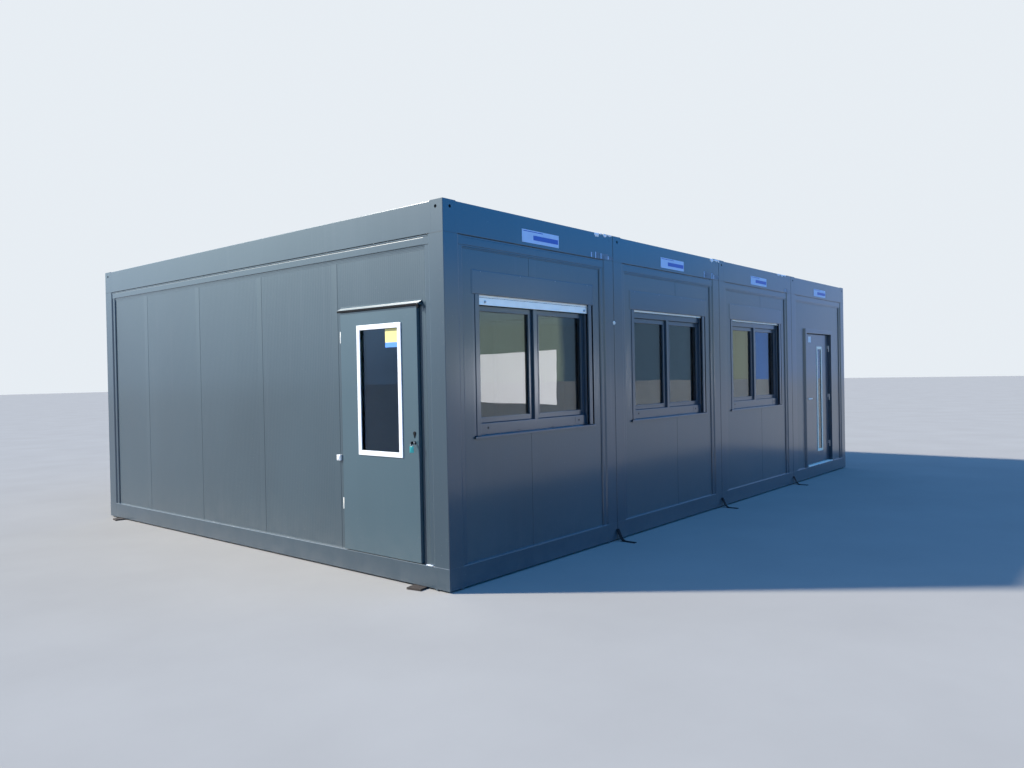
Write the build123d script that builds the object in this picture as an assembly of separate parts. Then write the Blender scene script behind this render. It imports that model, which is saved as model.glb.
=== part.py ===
from build123d import *
import os

# Linked site cabin of four steel-framed modules side by side, in millimetres.
# The origin is the centre of the footprint on the ground. X runs along the front, which faces -Y.

# Modules
module_count = 4
module_width = 2435.0
module_depth = 6055.0
joint_gap = 5.0
packer_thickness = 15.0
floor_rail_height = 175.0
post_height = 2655.0
roof_rail_height = 255.0

# Rolled steel frame
sheet = 4.0
corner_size = 150.0
casting_wall = 8.0
casting_cap = 10.0
casting_rise = 5.0
lifting_hole_radius = 14.0
lifting_hole_inset = 80.0
lifting_hole_drop = 50.0
floor_flange = 60.0
floor_lip = 15.0
post_face = 165.0
post_step_width = 15.0
post_step_depth = 12.0
post_flange_end = 222.0
post_edge_width = 9.0
post_edge_depth = 9.5
strip_height = 80.0
strip_setback = 8.0
strip_chamfer = 12.0
groove_height = 8.0
gutter_lip = 45.0
gutter_bottom_drop = 115.0
gutter_upstand = 65.0
cope_clearance = 6.0

# Floor, ceiling and roof skin
joist_pitch = 800.0
joist_height = 120.0
joist_flange = 50.0
joist_sheet = 3.0
first_joist = 400.0
deck_thickness = 22.0
ceiling_thickness = 80.0
notch_clearance = 5.0
roof_sheet_thickness = 1.0
roof_rib_height = 24.0
roof_rib_count = 12
roof_rib_top_share = 0.2
roof_rib_slope_share = 0.15
roof_sheet_overhang = 26.0
roof_sheet_end_gap = 5.0
joint_cap_thickness = 3.0
joint_cap_drop = 20.0
joint_cap_clearance = 3.0

# Wall panels
panel_setback = 25.0
panel_thickness = 120.0
panel_pitch = 1150.0
panel_groove_width = 4.0
panel_groove_depth = 5.0
post_pocket = 25.0
panel_joint_first = 1090.0
panel_joint_other = 1340.0
end_panel_start = 1360.0
back_panel_joint = 1090.0
inner_cover_thickness = 10.0
inner_cover_clearance = 5.0

# Windows in modules 1 to 3
window_modules = 3
window_left = 345.0
window_right_margin = 343.0
window_sill_z = 1200.0
window_top_drop = 185.0
shutter_setback = 20.0
shutter_box_height = 200.0
shutter_box_rounding = 6.0
guide_gap = 30.0
guide_width = 52.0
guide_slot_width = 14.0
guide_slot_depth = 30.0
guide_slot_setback = 18.0
sill_height = 15.0
sill_nose = 12.0
frame_setback = 62.0
frame_side = 83.0
frame_bottom = 95.0
frame_top = 82.0
mullion_width = 50.0
sash_setback = 85.0
sash_depth = 55.0
sash_stile = 48.0
glass_setback = 105.0
glass_thickness = 24.0
slat_height = 83.0
slat_lip_height = 20.0
slat_thickness = 10.0
slat_end_clearance = 10.0
end_slat_module = 0

# Left door, hung on the far side of its frame and standing a little proud of the wall
left_door_low_y = 314.0
left_door_width = 980.0
left_door_bottom_z = 197.0
left_door_top_z = 2285.0
left_leaf_proud = 5.0
left_leaf_thickness = 50.0
left_leaf_gap = 5.0
left_edge_gap = 8.0
left_frame_face = 25.0
left_threshold_height = 25.0
left_glass_low_y = 531.0
left_glass_width = 505.0
left_glass_bottom_z = 1073.0
left_glass_height = 1058.0
left_bead_cover = 30.0
left_bead_proud = 9.0
left_pivot_offset = 12.0
left_pivot_depth = 12.5
left_hinge_heights = (600.0, 2070.0)
left_lock_inset = 66.0
left_lock_z = 1250.0
rain_cap_z = 2305.0
rain_cap_height = 28.0
rain_cap_reach = 45.0
rain_cap_low_y = 279.0
rain_cap_length = 1042.0
rain_cap_sheet = 2.0
rain_cap_drip = 14.0
door_catch_size = 58.0
door_catch_reach = 28.0
door_catch_y = 1370.0
door_catch_z = 1000.0

# Front door in module 4, set back in its frame
front_frame_low_x = 584.0
front_frame_width = 1237.0
front_frame_face = 56.0
front_frame_head_z = 2350.0
front_head_face = 70.0
front_leaf_setback = 50.0
front_leaf_thickness = 45.0
front_leaf_gap = 8.0
front_leaf_bottom_z = 212.0
front_stop_width = 15.0
front_stop_clearance = 6.0
front_threshold_height = 14.0
front_glass_low_x = 1230.0
front_glass_width = 180.0
front_glass_bottom_z = 420.0
front_glass_height = 1630.0
front_bead_cover = 30.0
front_bead_proud = 6.0
front_pivot_inset = 7.0
front_pivot_proud = 12.0
front_hinge_heights = (480.0, 1250.0, 2050.0)
front_handle_inset = 52.0
front_handle_z = 1250.0
front_lock_z = 1170.0

# Door furniture
door_glass_thickness = 20.0
bead_inner_cover = 12.0
hinge_radius = 8.0
hinge_knuckle = 50.0
hinge_gap = 0.3
hinge_plate = 4.0
hinge_edge_plate = 20.0
hinge_face_plate = 30.0
rosette_size = 44.0
rosette_thickness = 8.0
lever_neck_length = 45.0
lever_length = 130.0
lever_size = 16.0
cylinder_radius = 9.0
cylinder_length = 6.0

# Packers and joint seals
packer_length = 200.0
packer_width = 150.0
packer_start = 215.0
packer_proud = 110.0
joint_packer_width = 240.0
packer_setback = 20.0
seal_depth = 40.0
seal_setback = 2.0
tail_width = 44.0
tail_thickness = 6.0
tail_start_z = 120.0
tail_reach = 210.0
tail_radius = 60.0

# Derived levels and lengths
frame_z = packer_thickness
floor_z = frame_z + floor_rail_height
rail_z = floor_z + post_height
roof_z = rail_z + roof_rail_height
wall_top_z = rail_z - strip_height
pitch = module_width + joint_gap
total_length = module_count * pitch - joint_gap
half_length = total_length / 2
half_depth = module_depth / 2
panel_back = panel_setback + panel_thickness
window_right = module_width - window_right_margin
window_centre = (window_left + window_right) / 2
box_top_z = wall_top_z - window_top_drop
window_head_z = box_top_z - shutter_box_height
side_clearance = 0.5


def module_x(index):
    """Returns the X of a module's left face."""
    return -half_length + index * pitch


def block(x0, x1, y0, y1, z0, z1):
    """Returns a box between two corners."""
    centre = ((x0 + x1) / 2, (y0 + y1) / 2, (z0 + z1) / 2)
    return Pos(*centre) * Box(x1 - x0, y1 - y0, z1 - z0)


def folded(points, thickness=sheet):
    """Returns the section of a folded sheet lying on the right of its outer line."""
    line = Polyline(*points)
    return make_face(offset(line, amount=thickness, side=Side.RIGHT, kind=Kind.INTERSECTION))


def ring(x0, x1, z0, z1, y0, y1, bar_x, bar_low, bar_high):
    """Returns an upright frame with bars of the stated widths, open in the middle."""
    outer = block(x0, x1, y0, y1, z0, z1)
    return outer - block(x0 + bar_x, x1 - bar_x, y0 - 1, y1 + 1, z0 + bar_low, z1 - bar_high)


def stand(section, length, z0):
    """Returns a plan section extruded upwards from a level."""
    return Pos(0, 0, z0) * extrude(section, length)


def run_along_x(section, x0, x1):
    """Returns a section, drawn as depth and height, extruded along X."""
    plane = Plane(origin=(x0, 0, 0), x_dir=(0, 1, 0), z_dir=(1, 0, 0))
    return extrude(plane * section, x1 - x0)


def run_along_y(section, y0, y1):
    """Returns a section, drawn as depth and height, extruded along Y."""
    plane = Plane(origin=(0, y1, 0), x_dir=(1, 0, 0), z_dir=(0, -1, 0))
    return extrude(plane * section, y1 - y0)


def at_front(shape, index):
    """Places a shape drawn from a module's left front corner."""
    return Pos(module_x(index), -half_depth, 0) * shape


def across(shape):
    """Mirrors a module shape to the module's right side."""
    return Pos(module_width, 0, 0) * mirror(shape, about=Plane.YZ)


def behind(shape):
    """Mirrors a module shape to the module's back."""
    return Pos(0, module_depth, 0) * mirror(shape, about=Plane.XZ)


def four_corners(shape):
    """Returns a corner shape and its mirror images at a module's other corners."""
    pair = [shape, across(shape)]
    return pair + [behind(item) for item in pair]


def every_module(shapes):
    """Repeats module shapes along the row."""
    return [at_front(shape, index) for index in range(module_count) for shape in shapes]


nodes = {}


def add(name, *shapes):
    """Keeps the solids of one node."""
    solids = []
    for shape in shapes:
        solids += shape if isinstance(shape, list) else [shape]
    nodes[name] = Compound(children=[solid for item in solids for solid in item.solids()])


def casting(z0, z1):
    """Returns a corner block of plates, open towards the two rails that meet it."""
    body = block(0, corner_size, 0, corner_size, z0, z1)
    return body - block(casting_wall, corner_size + 1, casting_wall, corner_size + 1,
                        z0 + casting_cap, z1 - casting_cap)


def top_castings():
    """Returns the top corner blocks, with a lifting hole in each face that shows."""
    hole_z = roof_z - lifting_hole_drop
    hole = Cylinder(lifting_hole_radius, 2 * casting_wall + 2)
    inner = casting(rail_z, roof_z + casting_rise)
    inner -= Pos(lifting_hole_inset, 0, hole_z) * Rot(90, 0, 0) * hole
    outer = inner - Pos(0, lifting_hole_inset, hole_z) * Rot(0, 90, 0) * hole
    blocks = []
    for index in range(module_count):
        left = outer if index == 0 else inner
        right = outer if index == module_count - 1 else inner
        pair = [left, across(right)]
        blocks += [at_front(item, index) for item in pair + [behind(item) for item in pair]]
    return blocks


def corner_post():
    """Returns a folded corner post with a stepped flange along each face."""
    step = post_face + post_step_width
    edge = post_flange_end + post_edge_width
    deep = post_step_depth + post_edge_depth
    arm = [(edge, deep), (post_flange_end, post_step_depth), (step, post_step_depth), (post_face, 0)]
    return stand(folded(arm + [(0, 0)] + [(y, x) for x, y in reversed(arm)]), post_height, floor_z)


def floor_section():
    """Returns the lipped channel of a floor rail."""
    return folded([
        (floor_flange, frame_z + floor_lip),
        (floor_flange, frame_z),
        (0, frame_z),
        (0, floor_z),
        (floor_flange, floor_z),
        (floor_flange, floor_z - floor_lip),
    ])


def roof_section():
    """Returns the roof rail's fold: shelf, lower strip, groove, fascia and gutter."""
    groove = strip_setback + strip_chamfer
    gutter_z = roof_z - gutter_bottom_drop
    upstand = corner_size - sheet
    return folded([
        (corner_size, wall_top_z),
        (strip_setback, wall_top_z),
        (strip_setback, rail_z - groove_height - strip_chamfer),
        (groove, rail_z - groove_height),
        (groove, rail_z),
        (0, rail_z),
        (0, roof_z),
        (gutter_lip, roof_z),
        (gutter_lip, gutter_z),
        (upstand, gutter_z),
        (upstand, gutter_z + gutter_upstand),
    ])


def rails(section):
    """Returns the four rails of a module, from corner block to corner block."""
    front = run_along_x(section, corner_size, module_width - corner_size)
    side = run_along_y(section, corner_size, module_depth - corner_size)
    return [front, behind(front), side, across(side)]


def roof_rails():
    """Returns the roof rails, their lower strip coped back to clear the posts' flanges."""
    flange = post_flange_end + post_edge_width + side_clearance
    deep = post_step_depth + post_edge_depth + sheet + cope_clearance
    cope = block(-1, flange, -1, flange, wall_top_z - 1, rail_z)
    keep = block(deep, flange + 1, deep, flange + 1, wall_top_z - 2, rail_z + 1)
    coped = []
    for rail in rails(roof_section()):
        for corner in four_corners(cope - keep):
            rail = rail - corner
        coped.append(rail)
    return coped


def floor_joists():
    """Returns the joists between the side rails, below the deck."""
    top = floor_z - deck_thickness
    low = top - joist_height
    section = folded([(joist_flange, low), (0, low), (0, top), (joist_flange, top)], joist_sheet)
    joist = run_along_x(section, sheet, module_width - sheet)
    count = int((module_depth - 2 * first_joist) // joist_pitch) + 1
    start = (module_depth - (count - 1) * joist_pitch - joist_flange) / 2
    return [Pos(0, start + number * joist_pitch, 0) * joist for number in range(count)]


def notched_panel(inset, z0, z1):
    """Returns a flat panel inside a frame, its corners notched round the corner blocks."""
    panel = block(inset, module_width - inset, inset, module_depth - inset, z0, z1)
    notch_size = corner_size + notch_clearance
    for notch in four_corners(block(0, notch_size, 0, notch_size, z0 - 1, z1 + 1)):
        panel -= notch
    return panel


def roof_sheet():
    """Returns the ribbed steel roof sheet, carried by the gutters' upstands."""
    low = roof_z - gutter_bottom_drop + gutter_upstand
    start = corner_size + roof_sheet_end_gap
    length = module_depth - 2 * start
    rib_pitch = length / roof_rib_count
    top = rib_pitch * roof_rib_top_share
    slope = rib_pitch * roof_rib_slope_share
    pan = (rib_pitch - top - 2 * slope) / 2
    upper = []
    for number in range(roof_rib_count):
        y = start + number * rib_pitch
        upper += [
            (y, 0),
            (y + pan, 0),
            (y + pan + slope, roof_rib_height),
            (y + pan + slope + top, roof_rib_height),
            (y + pan + 2 * slope + top, 0),
        ]
    upper.append((start + length, 0))
    lower = [(y, z + low) for y, z in upper]
    raised = [(y, z + low + roof_sheet_thickness) for y, z in reversed(upper)]
    section = make_face(Polyline(*lower, *raised, close=True))
    inset = corner_size - sheet - roof_sheet_overhang
    return run_along_x(section, inset, module_width - inset)


def joint_x(number):
    """Returns the X of the middle of a joint between two modules."""
    return module_x(number + 1) - joint_gap / 2


def roof_joint_caps():
    """Returns the caps that bridge the two rails of each joint on the roof."""
    half = gutter_lip + joint_gap / 2 + joint_cap_clearance + joint_cap_thickness
    top = roof_z + joint_cap_thickness
    low = roof_z - joint_cap_drop
    section = folded([(-half, low), (-half, top), (half, top), (half, low)], joint_cap_thickness)
    y0 = -half_depth + corner_size
    cap = run_along_y(section, y0, half_depth - corner_size)
    return [Pos(joint_x(number), 0, 0) * cap for number in range(module_count - 1)]


def joint_seals():
    """Returns the rubber seals in the joints, each front one with a tail on the ground."""
    strip = block(-joint_gap / 2, joint_gap / 2, seal_setback, seal_depth, frame_z, roof_z)
    line = FilletPolyline(
        (-tail_thickness, tail_start_z),
        (-tail_radius, tail_thickness),
        (-tail_reach, tail_thickness),
        radius=tail_radius,
    )
    band = make_face(offset(line, amount=tail_thickness, side=Side.LEFT, kind=Kind.INTERSECTION))
    tail = run_along_x(band, -tail_width / 2, tail_width / 2)
    root = block(-joint_gap / 2, joint_gap / 2, -2 * tail_thickness, seal_setback,
                 tail_start_z - tail_width / 2, tail_start_z - tail_thickness)
    front = strip + root + tail
    back = Pos(0, module_depth, 0) * mirror(strip, about=Plane.XZ)
    return [Pos(joint_x(number), -half_depth, 0) * item
            for number in range(module_count - 1) for item in (front, back)]


def base_packers():
    """Returns the packers under the ends' side rails and under the joints."""
    packers = []
    for low_y in (packer_start, module_depth - packer_start - packer_length):
        end = block(-packer_proud, packer_width, low_y, low_y + packer_length, 0, frame_z)
        packers.append(at_front(end, 0))
        packers.append(at_front(across(end), module_count - 1))
    for number in range(module_count - 1):
        half = joint_packer_width / 2
        last_y = module_depth - packer_setback - packer_width
        for low_y in (packer_setback, (packer_setback + last_y) / 2, last_y):
            pad = block(-half, half, low_y, low_y + packer_width, 0, frame_z)
            packers.append(Pos(joint_x(number), -half_depth, 0) * pad)
    return packers


def inner_covers():
    """Returns the casings round the pairs of posts that stand in the room at each joint."""
    half = post_step_depth + post_edge_depth + sheet + joint_gap / 2 + inner_cover_clearance
    half += inner_cover_thickness
    deep = post_flange_end + post_edge_width + inner_cover_clearance + inner_cover_thickness
    section = folded([(-half, panel_back), (-half, deep), (half, deep), (half, panel_back)],
                     inner_cover_thickness)
    front = stand(section, wall_top_z - floor_z, floor_z)
    return [Pos(joint_x(number), -half_depth, 0) * item
            for number in range(module_count - 1) for item in (front, behind(front))]


def grooved(panel, spots, along_x, front):
    """Cuts the narrow joint grooves between panels in a wall's outer face."""
    half = panel_groove_width / 2
    bounds = panel.bounding_box()
    low, high = bounds.min, bounds.max
    for spot in spots:
        if along_x:
            cut = block(spot - half, spot + half, front - 1, front + panel_groove_depth,
                        low.Z - 1, high.Z + 1)
        else:
            cut = block(front - 1, front + panel_groove_depth, spot - half, spot + half,
                        low.Z - 1, high.Z + 1)
        panel -= cut
    return panel


def front_wall(x0, x1, z0, z1, spots=()):
    """Returns a piece of front wall in a module's own frame."""
    return grooved(block(x0, x1, panel_setback, panel_back, z0, z1), spots, True, panel_setback)


def front_side_panels():
    """Returns the front wall beside each window and beside the front door."""
    low = post_pocket
    high = module_width - post_pocket
    pieces = []
    for index in range(window_modules):
        pieces.append(at_front(front_wall(low, window_left, floor_z, wall_top_z), index))
        pieces.append(at_front(front_wall(window_right, high, floor_z, wall_top_z), index))
    door = module_count - 1
    pieces.append(at_front(front_wall(low, front_frame_low_x, floor_z, wall_top_z), door))
    right = front_frame_low_x + front_frame_width
    pieces.append(at_front(front_wall(right, high, floor_z, wall_top_z), door))
    return pieces


def window_joint(index):
    """Returns where the panels above and below a window meet."""
    return panel_joint_first if index == 0 else panel_joint_other


def front_head_panels():
    """Returns the front wall above each window and above the front door."""
    pieces = []
    for index in range(window_modules):
        panel = front_wall(window_left, window_right, box_top_z, wall_top_z, [window_joint(index)])
        pieces.append(at_front(panel, index))
    right = front_frame_low_x + front_frame_width
    door = front_wall(front_frame_low_x, right, front_frame_head_z, wall_top_z)
    return pieces + [at_front(door, module_count - 1)]


def front_sill_panels():
    """Returns the front wall below each window."""
    pieces = []
    for index in range(window_modules):
        panel = front_wall(window_left, window_right, floor_z, window_sill_z, [window_joint(index)])
        pieces.append(at_front(panel, index))
    return pieces


def back_wall():
    """Returns the back wall, one length in each module."""
    panel = front_wall(post_pocket, module_width - post_pocket, floor_z, wall_top_z, [back_panel_joint])
    return every_module([behind(panel)])


def end_wall_spots():
    """Returns where the panels of an end wall meet."""
    count = int((module_depth - post_face - end_panel_start) // panel_pitch) + 1
    return [end_panel_start + number * panel_pitch for number in range(count)]


def end_wall(y0, y1, z0, z1):
    """Returns a piece of the left end wall in the first module's own frame."""
    panel = block(panel_setback, panel_back, y0, y1, z0, z1)
    spots = [spot for spot in end_wall_spots() if y0 < spot < y1]
    return grooved(panel, spots, False, panel_setback)


left_frame_low_y = left_door_low_y - left_edge_gap
left_frame_high_y = left_door_low_y + left_door_width + left_edge_gap
left_frame_head_z = left_door_top_z + left_edge_gap
left_outer_x = -left_leaf_proud
left_inner_x = left_outer_x + left_leaf_thickness
left_frame_x = left_inner_x + left_leaf_gap
front_frame_high_x = front_frame_low_x + front_frame_width
front_leaf_low_x = front_frame_low_x + front_frame_face + front_leaf_gap
front_leaf_high_x = front_frame_high_x - front_frame_face - front_leaf_gap
front_leaf_top_z = front_frame_head_z - front_head_face - front_leaf_gap
front_leaf_back = front_leaf_setback + front_leaf_thickness
front_stop_setback = front_leaf_back + front_stop_clearance


def left_wall():
    """Returns the left end wall beyond the door, and its narrow strip at the corner."""
    far = end_wall(left_frame_high_y, module_depth - panel_back, floor_z, wall_top_z)
    near = end_wall(panel_back, left_frame_low_y, floor_z, wall_top_z)
    return [at_front(far, 0), at_front(near, 0)]


def left_wall_over_door():
    """Returns the wall above the left door's frame."""
    return at_front(end_wall(left_frame_low_y, left_frame_high_y, left_frame_head_z, wall_top_z), 0)


def right_wall():
    """Returns the plain right end wall."""
    panel = end_wall(panel_back, module_depth - panel_back, floor_z, wall_top_z)
    return at_front(across(panel), module_count - 1)


def window_pieces():
    """Returns the pieces of one window and its shutter in a module's own frame."""
    low = window_sill_z + sill_height
    frame = block(window_left, window_right, frame_setback, panel_back, low, window_head_z)
    hole_low = low + frame_bottom
    hole_high = window_head_z - frame_top
    sash_spots = [
        (window_left + frame_side, window_centre - mullion_width / 2),
        (window_centre + mullion_width / 2, window_right - frame_side),
    ]
    sashes = []
    panes = []
    for x0, x1 in sash_spots:
        frame -= block(x0, x1, frame_setback - 1, panel_back + 1, hole_low, hole_high)
        gap = side_clearance
        sash = ring(x0 + gap, x1 - gap, hole_low + gap, hole_high - gap,
                    sash_setback, sash_setback + sash_depth, sash_stile, sash_stile, sash_stile)
        sashes.append(sash)
        edge = sash_stile + gap
        panes.append(block(x0 + edge, x1 - edge, glass_setback, glass_setback + glass_thickness,
                           hole_low + edge, hole_high - edge))
    return frame, sashes, panes


def shutter_box():
    """Returns a shutter box over the whole unit, its front edge rounded."""
    box = block(window_left, window_right, shutter_setback, panel_back, window_head_z, box_top_z)
    return fillet(box.edges().filter_by(Axis.X).group_by(Axis.Y)[0], shutter_box_rounding)


def guide():
    """Returns the left guide rail of a shutter, with the slot its slats run in."""
    x0 = window_left + guide_gap
    x1 = x0 + guide_width
    low = window_sill_z + sill_height
    rail = block(x0, x1, shutter_setback, frame_setback, low, window_head_z)
    slot_y = shutter_setback + guide_slot_setback
    return rail - block(x1 - guide_slot_depth, x1 + 1, slot_y, slot_y + guide_slot_width,
                        low - 1, window_head_z + 1)


def in_window(shape):
    """Mirrors a piece about the middle of the window."""
    return Pos(2 * window_centre, 0, 0) * mirror(shape, about=Plane.YZ)


def window_sill():
    """Returns the sloping sill below a window, with its turned-down nose."""
    low = window_sill_z
    top = low + sill_height
    nose_y = shutter_setback - sill_nose
    inner_y = nose_y + sill_nose / 2
    section = make_face(Polyline(
        (nose_y, low - sill_nose),
        (nose_y, top - sill_nose / 2),
        (frame_setback, top),
        (panel_back, top),
        (panel_back, low),
        (panel_setback - side_clearance, low),
        (inner_y, low - 2),
        (inner_y, low - sill_nose),
        close=True,
    ))
    return run_along_x(section, window_left, window_right)


def shutter_slat(index):
    """Returns the lowest slat of a shutter, which hangs lower in one module."""
    run = guide_gap + guide_width - guide_slot_depth + slat_end_clearance
    height = slat_height if index == end_slat_module else slat_lip_height
    y0 = shutter_setback + guide_slot_setback + (guide_slot_width - slat_thickness) / 2
    return block(window_left + run, window_right - run, y0, y0 + slat_thickness,
                 window_head_z - height, window_head_z)


def left_jamb(low_y, high_y):
    """Returns a jamb of the left door's frame, behind the edge of the leaf."""
    return block(left_frame_x, panel_back, low_y, high_y, floor_z, left_frame_head_z)


def hinge_spans(z):
    """Returns the height spans of a lift-off hinge's moving and fixed knuckles."""
    half = hinge_gap / 2
    return (z + half, z + half + hinge_knuckle), (z - half - hinge_knuckle, z - half)


def knuckle(x, y, span):
    """Returns an upright hinge knuckle over a height span."""
    return Pos(x, y, sum(span) / 2) * Cylinder(hinge_radius, span[1] - span[0])


left_pivot_y = left_door_low_y + left_door_width + left_pivot_offset
left_pivot_x = left_outer_x + left_pivot_depth
front_pivot_x = front_leaf_high_x - front_pivot_inset
front_pivot_y = front_leaf_setback - front_pivot_proud


def left_hinges():
    """Returns the moving and fixed halves of the left door's lift-off hinges."""
    moving = []
    fixed = []
    half = hinge_plate / 2
    reach = hinge_edge_plate / 2
    edge = left_door_low_y + left_door_width
    x = left_pivot_x
    y = left_pivot_y
    for z in left_hinge_heights:
        upper, lower = hinge_spans(z)
        plate = block(x - reach, x + reach, edge, edge + hinge_plate, *upper)
        web = block(x - half, x + half, edge, y, *upper)
        moving.append(at_front(knuckle(x, y, upper) + plate + web, 0))
        arm = block(x, panel_setback, y - half, y + half, *lower)
        fixed.append(at_front(knuckle(x, y, lower) + arm, 0))
    return moving, fixed


def front_hinges():
    """Returns the moving and fixed halves of the front door's lift-off hinges."""
    moving = []
    fixed = []
    door = module_count - 1
    jamb = front_frame_high_x - front_frame_face
    half = hinge_plate / 2
    x = front_pivot_x
    y = front_pivot_y
    for z in front_hinge_heights:
        upper, lower = hinge_spans(z)
        plate = block(x - hinge_face_plate, x + half, front_leaf_setback - hinge_plate,
                      front_leaf_setback, *upper)
        web = block(x - half, x + half, y, front_leaf_setback, *upper)
        moving.append(at_front(knuckle(x, y, upper) + plate + web, door))
        arm = block(x, jamb, y - half, y + half, *lower)
        fixed.append(at_front(knuckle(x, y, lower) + arm, door))
    return moving, fixed


def left_leaf():
    """Returns the left door's leaf with its glazing hole."""
    y1 = left_door_low_y + left_door_width
    leaf = block(left_outer_x, left_inner_x, left_door_low_y, y1, left_door_bottom_z, left_door_top_z)
    leaf -= block(left_outer_x - 1, left_inner_x + 1, left_glass_low_y, left_glass_low_y + left_glass_width,
                  left_glass_bottom_z, left_glass_bottom_z + left_glass_height)
    return leaf


def left_glazing():
    """Returns the left door's pane and its glazing beads on both faces."""
    middle = (left_outer_x + left_inner_x) / 2
    half = door_glass_thickness / 2
    y1 = left_glass_low_y + left_glass_width
    z1 = left_glass_bottom_z + left_glass_height
    pane = block(middle - half, middle + half, left_glass_low_y, y1, left_glass_bottom_z, z1)
    cover = left_bead_cover
    bead = block(-left_bead_proud, 0, left_glass_low_y - cover, y1 + cover,
                 left_glass_bottom_z - cover, z1 + cover)
    inner = cover + bead_inner_cover
    bead -= block(-left_bead_proud - 1, 1, left_glass_low_y - cover + inner, y1 + cover - inner,
                  left_glass_bottom_z - cover + inner, z1 + cover - inner)
    outside = Pos(left_outer_x, 0, 0) * bead
    inside = Pos(left_inner_x + left_bead_proud, 0, 0) * bead
    return pane, [outside, inside]


def rain_cap():
    """Returns the folded rain cap over the left door, its corner end turned down."""
    top = rain_cap_z + rain_cap_height
    inner_x = panel_setback - rain_cap_sheet
    outer_x = panel_setback - rain_cap_reach
    section = folded([
        (outer_x, rain_cap_z - rain_cap_drip),
        (outer_x, rain_cap_z),
        (inner_x, top - rain_cap_sheet * 3),
        (inner_x, top + rain_cap_sheet * 2),
    ], rain_cap_sheet)
    cap = run_along_y(section, rain_cap_low_y, rain_cap_low_y + rain_cap_length)
    end = block(outer_x, inner_x, rain_cap_low_y - rain_cap_sheet, rain_cap_low_y,
                rain_cap_z - rain_cap_drip, rain_cap_z)
    return cap + end


def rosette():
    """Returns the square plate of a handle or lock on the XZ face at Y 0."""
    half = rosette_size / 2
    return block(-half, half, -rosette_thickness, 0, -half, half)


def lever_set():
    """Returns a plate, neck and bar lever on the XZ face at Y 0, pointing along X."""
    half = lever_size / 2
    neck = block(-half, half, -lever_neck_length, 0, -half, half)
    grip = block(-half, lever_length, -lever_neck_length - half, -lever_neck_length + half, -half, half)
    return rosette() + neck + grip


def cylinder_set():
    """Returns a lock plate with its cylinder's end, on the XZ face at Y 0."""
    length = rosette_thickness + cylinder_length
    return rosette() + Pos(0, -length / 2, 0) * Rot(90, 0, 0) * Cylinder(cylinder_radius, length)


def left_lock():
    """Returns the lock outside and the lever inside the left door."""
    y = left_door_low_y + left_lock_inset
    outer = Pos(left_outer_x, y, left_lock_z) * Rot(0, 0, -90) * cylinder_set()
    inner = Pos(left_inner_x, y, left_lock_z) * Rot(0, 0, 90) * lever_set()
    return [at_front(outer, 0), at_front(inner, 0)]


def front_leaf():
    """Returns the front door's leaf with its narrow glazing hole."""
    leaf = block(front_leaf_low_x, front_leaf_high_x, front_leaf_setback, front_leaf_back,
                 front_leaf_bottom_z, front_leaf_top_z)
    leaf -= block(front_glass_low_x, front_glass_low_x + front_glass_width, 0, panel_back,
                  front_glass_bottom_z, front_glass_bottom_z + front_glass_height)
    return leaf


def front_glazing():
    """Returns the front door's pane and its glazing beads on both faces."""
    middle = front_leaf_setback + front_leaf_thickness / 2
    half = door_glass_thickness / 2
    x1 = front_glass_low_x + front_glass_width
    z1 = front_glass_bottom_z + front_glass_height
    pane = block(front_glass_low_x, x1, middle - half, middle + half, front_glass_bottom_z, z1)
    cover = front_bead_cover
    inner = cover + bead_inner_cover
    bead = ring(front_glass_low_x - cover, x1 + cover, front_glass_bottom_z - cover, z1 + cover,
                -front_bead_proud, 0, inner, inner, inner)
    outside = Pos(0, front_leaf_setback, 0) * bead
    inside = Pos(0, front_leaf_back + front_bead_proud, 0) * bead
    return pane, [outside, inside]


def front_jamb():
    """Returns the left jamb of the front door's frame, with the stop its leaf shuts against."""
    x0 = front_frame_low_x
    x1 = x0 + front_frame_face
    jamb = block(x0, x1, 0, panel_back, floor_z, front_frame_head_z)
    stop = block(x1, x1 + front_stop_width, front_stop_setback, panel_back, floor_z,
                 front_frame_head_z - front_head_face)
    return jamb + stop


def front_handle():
    """Returns the levers and lock cylinders on both faces of the front door."""
    x = front_leaf_low_x + front_handle_inset
    outer = Pos(x, front_leaf_setback, 0)
    inner = Pos(x, front_leaf_back, 0)
    lever = Pos(0, 0, front_handle_z) * lever_set()
    lock = Pos(0, 0, front_lock_z) * cylinder_set()
    flipped = [mirror(item, about=Plane.XZ) for item in (lever, lock)]
    pieces = [outer * lever, outer * lock] + [inner * item for item in flipped]
    return [at_front(item, module_count - 1) for item in pieces]


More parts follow.
